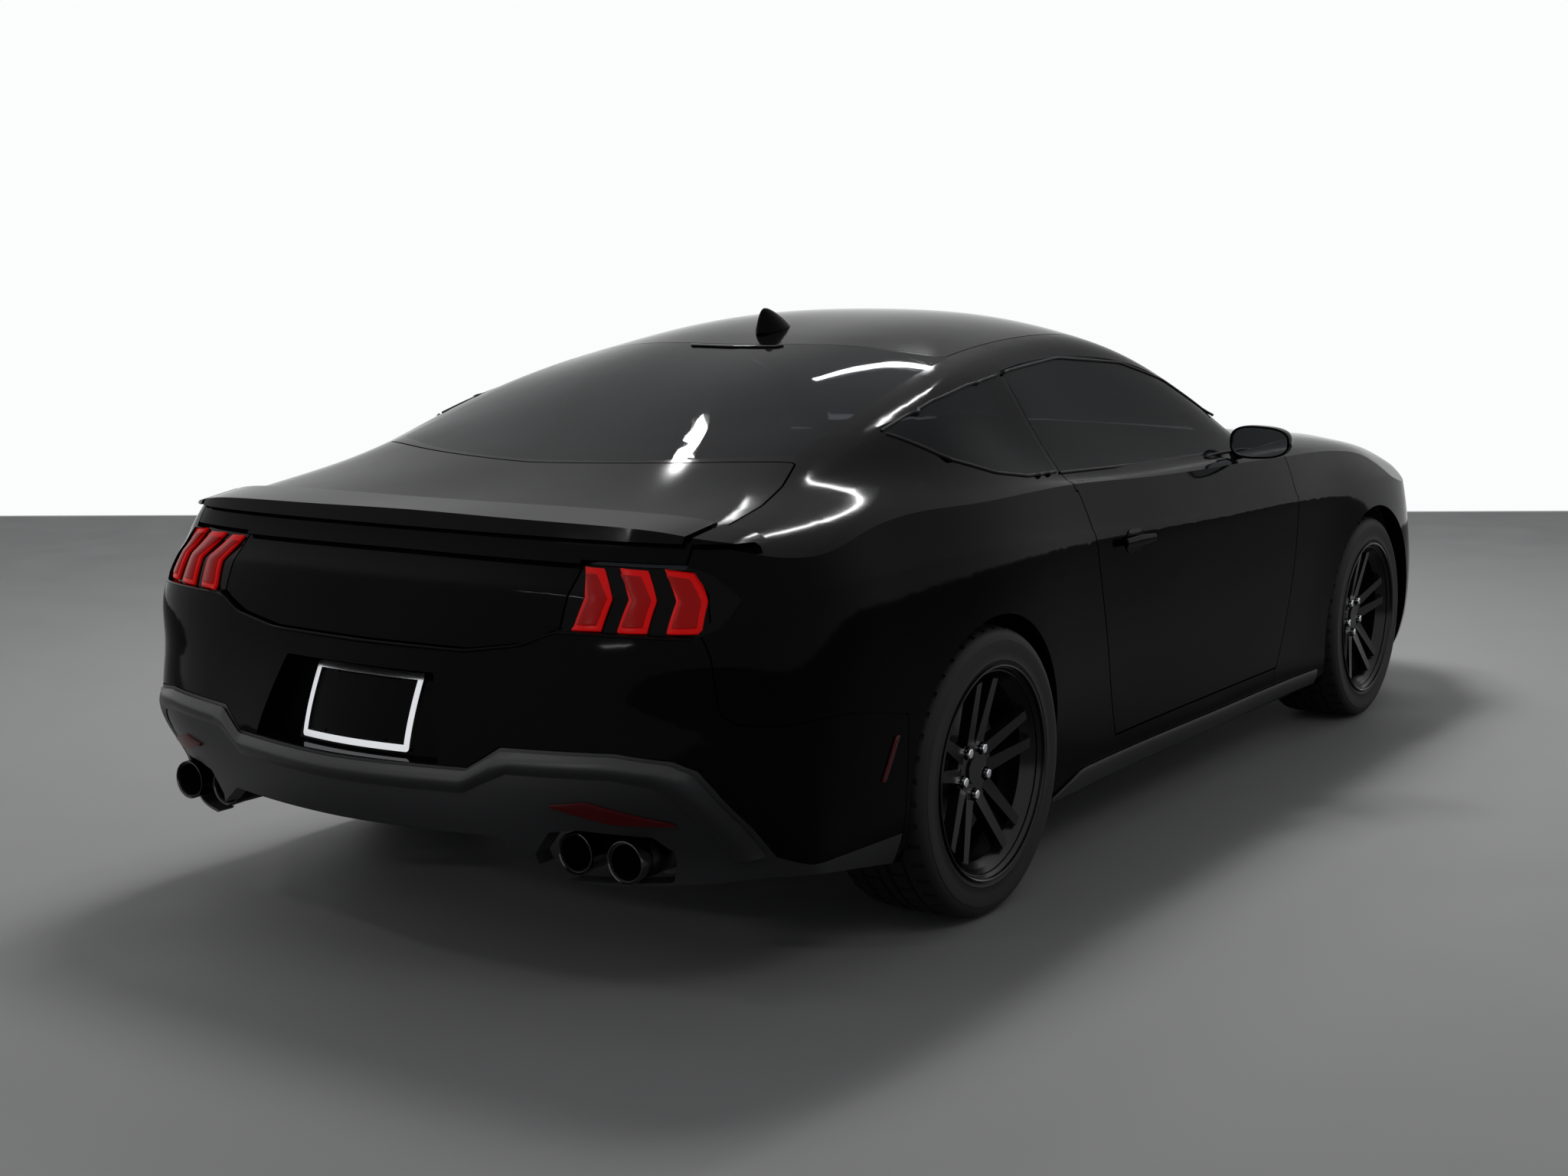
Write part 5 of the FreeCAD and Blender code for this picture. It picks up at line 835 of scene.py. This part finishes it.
def paddedPiece(pad):
    low, high = Vector(pad["low"]), Vector(pad["high"])
    piece = softBlock(low, high, pad["round"], 4)
    middle, half = (low + high) / 2, (high - low) / 2
    thin = min(range(3), key=lambda index: half[index])
    for vertex in piece.data.vertices:  # sides pull in between the corners
        share = [(vertex.co[index] - middle[index]) / half[index] for index in range(3)]
        for index in range(3):
            if index != thin:
                other = 3 - thin - index
                vertex.co[index] -= half[index] * cloth["pull"] * share[index] * (1 - share[other] ** 2)
    useModifier(piece, "REMESH", mode="VOXEL", voxel_size=pad["cell"])
    start = [vertex.co.copy() for vertex in piece.data.vertices]
    soft = piece.modifiers.new("Cloth", "CLOTH")
    soft.settings.use_pressure = True
    soft.settings.uniform_pressure_force = cloth["pressure"]
    soft.settings.effector_weights.gravity = 0
    soft.settings.tension_stiffness = cloth["tension"]
    soft.settings.bending_stiffness = cloth["bending"]
    soft.point_cache.frame_end = cloth["frames"]
    for step in range(1, cloth["frames"] + 1):
        scene.frame_set(step)
    bpy.context.view_layer.objects.active = piece
    bpy.ops.object.modifier_apply(modifier=soft.name)
    scene.frame_set(1)
    for vertex, spot in zip(piece.data.vertices, start):
        move = vertex.co - spot
        if move.length > pad["cap"]:
            vertex.co = spot + move * (pad["cap"] / move.length)
    useModifier(piece, "SMOOTH", iterations=4, factor=0.5)
    useModifier(piece, "SUBSURF", levels=1, render_levels=1)
    return piece


def piping(piece, pad, thin):
    low, high = Vector(pad["low"]), Vector(pad["high"])
    first, second = [index for index in range(3) if index != thin]
    surface = BVHTree.FromPolygons([vertex.co.copy() for vertex in piece.data.vertices],
                                   [list(face.vertices) for face in piece.data.polygons])
    middle, half = (low + high) / 2, (high - low) / 2
    runs = []
    for side in (-seams["at"], seams["at"]):
        points = []
        for step in range(seams["steps"] + 1):
            share = -seams["reach"] + 2 * seams["reach"] * step / seams["steps"]
            spot = Vector(middle)
            spot[first] += half[first] * (side if half[first] < half[second] else share)
            spot[second] += half[second] * (share if half[first] < half[second] else side)
            spot[thin] = high[thin] + 0.2
            way = Vector((0, 0, 0))
            way[thin] = -1
            hit = surface.ray_cast(spot, way)[0]
            if hit:
                points.append(hit)
        runs.append(bentBar(points, seams["radius"], 2))
    return joinPieces(runs)


padThin = {"cushion": 2, "backrest": 0, "headrest": 0, "benchCushion": 2, "benchBack": 0}
for name, pad in seatPads.items():
    piece = paddedPiece(pad)
    right = finishPair(piece, name, "leather", 60)
    if name != "headrest":
        seam = piping(piece, pad, padThin[name])
        finishPair(seam, f"{name}Seam", "rubber")
    if name == "cushion":
        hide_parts("front_seats")
    if name == "benchCushion":
        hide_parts("rear_seat")
print("seat pads ready")

# Under the front cushions: a dark base on two rails, and posts for the headrests
seatBase = {
    "low": (-0.13, 0.18, 0.225), "high": (0.33, 0.56, 0.29),
    "rails": (0.21, 0.53), "railHalf": 0.018, "railEnds": (-0.12, 0.30), "railHeights": (0.1903, 0.228),
    "posts": [(-0.30, 0.90), (-0.325, 0.95), (-0.345, 1.00)], "postPlaces": (0.32, 0.42), "postRadius": 0.006,
}
parts = [softBlock(seatBase["low"], seatBase["high"], 0.02)]
for out in seatBase["rails"]:
    rail = ((x, out + side * seatBase["railHalf"], z)
            for x, side, z in zip(seatBase["railEnds"], (-1, 1), seatBase["railHeights"]))
    parts.append(softBlock(*rail, 0.004))
for out in seatBase["postPlaces"]:
    parts.append(bentBar([(x, out, z) for x, z in seatBase["posts"]], seatBase["postRadius"], 4))
finishPair(joinPieces(parts), "seatBase", "satinTrim")

# Steering wheel: a padded ring, three spokes with metal edges and a blank round boss
hand = {"place": (0.250, 0.370, 0.850), "axis": (-0.90631, 0, 0.42262), "ring": 0.172, "grip": 0.0155,
        "boss": 0.055, "bossDepth": 0.036, "bossSunk": 0.012, "swell": 0.10,
        "spokes": (90, -30, 210), "spokeHalf": 0.017, "edgeHalf": 0.0215}
turnIn = Vector(hand["axis"]).to_track_quat("Z", "Y").to_matrix().to_4x4()
toHand = Matrix.Translation(hand["place"]) @ turnIn
bpy.ops.mesh.primitive_torus_add(major_radius=hand["ring"], minor_radius=hand["grip"],
                                 major_segments=72, minor_segments=20)
ring = bpy.context.object
for vertex in ring.data.vertices:
    turn = math.atan2(vertex.co.y, vertex.co.x)
    swell = 1 + hand["swell"] * math.cos(2 * turn)
    flat = Vector((vertex.co.x, vertex.co.y, 0))
    out = flat.normalized() * hand["ring"]
    vertex.co = out + (flat - out) * swell + Vector((0, 0, vertex.co.z * swell))
bpy.ops.mesh.primitive_cylinder_add(vertices=48, radius=hand["boss"], depth=hand["bossDepth"],
                                    location=(0, 0, -hand["bossSunk"]))
boss = bpy.context.object
useModifier(boss, "BEVEL", width=0.012, segments=4, limit_method="ANGLE", angle_limit=math.radians(50))
bpy.ops.object.transform_apply()
grips = [ring, boss]
edges = []
for turn in hand["spokes"]:
    wide, edgeWide = hand["spokeHalf"], hand["edgeHalf"]
    spoke = softBlock((0.045, -wide, -0.024), (hand["ring"] - 0.004, wide, -0.006), 0.006)
    edge = softBlock((0.060, -edgeWide, -0.020), (hand["ring"] - 0.014, edgeWide, -0.014), 0.002)
    for piece in (spoke, edge):
        piece.data.transform(Matrix.Rotation(math.radians(turn), 4, "Z"))
    grips.append(spoke)
    edges.append(edge)
wheel = joinPieces(grips)
wheel.data.transform(toHand)
finishPiece(wheel, "steeringRing", "leather", "hand_wheel", 50)
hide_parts("steering_wheel")
spokeEdges = joinPieces(edges)
spokeEdges.data.transform(toHand)
finishPiece(spokeEdges, "spokeEdges", "satinMetal", "hand_wheel")

# Dashboard: an extruded pad, a hood over two dial rings, a screen, slatted vents and the column
dash = {
    "section": [(0.7640, 0.660), (0.7640, 0.880), (0.700, 0.912), (0.600, 0.918), (0.520, 0.905),
                (0.462, 0.872), (0.440, 0.830), (0.452, 0.790), (0.500, 0.760), (0.478, 0.700),
                (0.500, 0.655), (0.600, 0.645)],
    "half": 0.80, "sweep": 0.055, "hood": (0.370, 0.165),
    "dials": (0.300, 0.440), "dialRadius": 0.034, "dialRim": 0.0022,
    "vents": (-0.68, -0.06, 0.06, 0.66), "ventHalf": 0.048,
    "slats": 5, "slatPitch": 0.011, "slatRound": 0.0015,
}
bpy.ops.mesh.primitive_plane_add(size=1)
pad = bpy.context.object
pad.data.clear_geometry()
corners = [(x, -dash["half"], z) for x, z in dash["section"]]
pad.data.from_pydata(corners, [], [list(range(len(corners)))])
editAll()
for _ in range(16):
    bpy.ops.mesh.extrude_region_move(TRANSFORM_OT_translate={"value": (0, dash["half"] / 8, 0)})
endEdit()
for vertex in pad.data.vertices:  # the face sweeps forward to the doors
    if vertex.co.x < 0.7:
        vertex.co.x += dash["sweep"] * (abs(vertex.co.y) / dash["half"]) ** 3
useModifier(pad, "BEVEL", width=0.010, segments=3, limit_method="ANGLE", angle_limit=math.radians(25))
middle, reach = dash["hood"]
hood = softBlock((0.430, middle - reach, 0.885), (0.560, middle + reach, 0.942), 0.024, 5)
for vertex in hood.data.vertices:
    vertex.co.z -= 0.45 * (vertex.co.y - middle) ** 2 / reach
parts = [pad, hood]
parts.append(softBlock((0.425, -0.16, 0.800), (0.470, 0.145, 0.812), 0.004))
dashPiece = finishPiece(joinPieces(parts), "dashPad", "softPlastic", "body_shell", 40)
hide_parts("dashboard")
column = bentBar([(0.285, 0.370, 0.834), (0.360, 0.370, 0.799), (0.470, 0.370, 0.748)], 0.040, 8)
finishPiece(column, "columnCover", "softPlastic", "body_shell", 50)
face = softBlock((0.424, middle - 0.145, 0.822), (0.436, 0.520, 0.900), 0.003)
screen = softBlock((0.418, -0.155, 0.815), (0.430, 0.140, 0.905), 0.004)
finishPiece(joinPieces([face, screen]), "dashScreens", "screen", "body_shell")
rings = []
for out in dash["dials"]:
    bpy.ops.mesh.primitive_torus_add(major_radius=dash["dialRadius"], minor_radius=dash["dialRim"],
                                     major_segments=48, minor_segments=8,
                                     location=(0.423, out, 0.861), rotation=(0, math.radians(90), 0))
    rings.append(bpy.context.object)
    bpy.ops.object.transform_apply()
for out in dash["vents"]:
    for step in range(dash["slats"]):
        foot = 0.742 + dash["slatPitch"] * step
        top = 0.746 + dash["slatPitch"] * step
        rings.append(softBlock((0.440, out - dash["ventHalf"], foot), (0.456, out + dash["ventHalf"], top),
                               dash["slatRound"]))
finishPiece(joinPieces(rings), "dashTrim", "satinMetal", "body_shell")

# Console over the tunnel with a stubby lever
console = [softBlock((-0.42, -0.125, 0.4203), (0.44, 0.125, 0.470), 0.018),
           softBlock((-0.42, -0.105, 0.46), (-0.10, 0.105, 0.545), 0.024),
           softBlock((0.36, -0.120, 0.44), (0.47, 0.120, 0.700), 0.020)]
finishPiece(joinPieces(console), "console", "softPlastic", "body_shell", 40)
lever = bentBar([(0.12, 0, 0.465), (0.118, 0, 0.50), (0.105, 0, 0.545)], 0.008, 4)
bpy.ops.mesh.primitive_uv_sphere_add(segments=28, ring_count=18, radius=0.026, location=(0.100, 0, 0.560))
knob = bpy.context.object
bpy.ops.object.transform_apply()
finishPiece(joinPieces([lever, knob]), "gearLever", "leather", "body_shell", 50)
print("cabin ready")
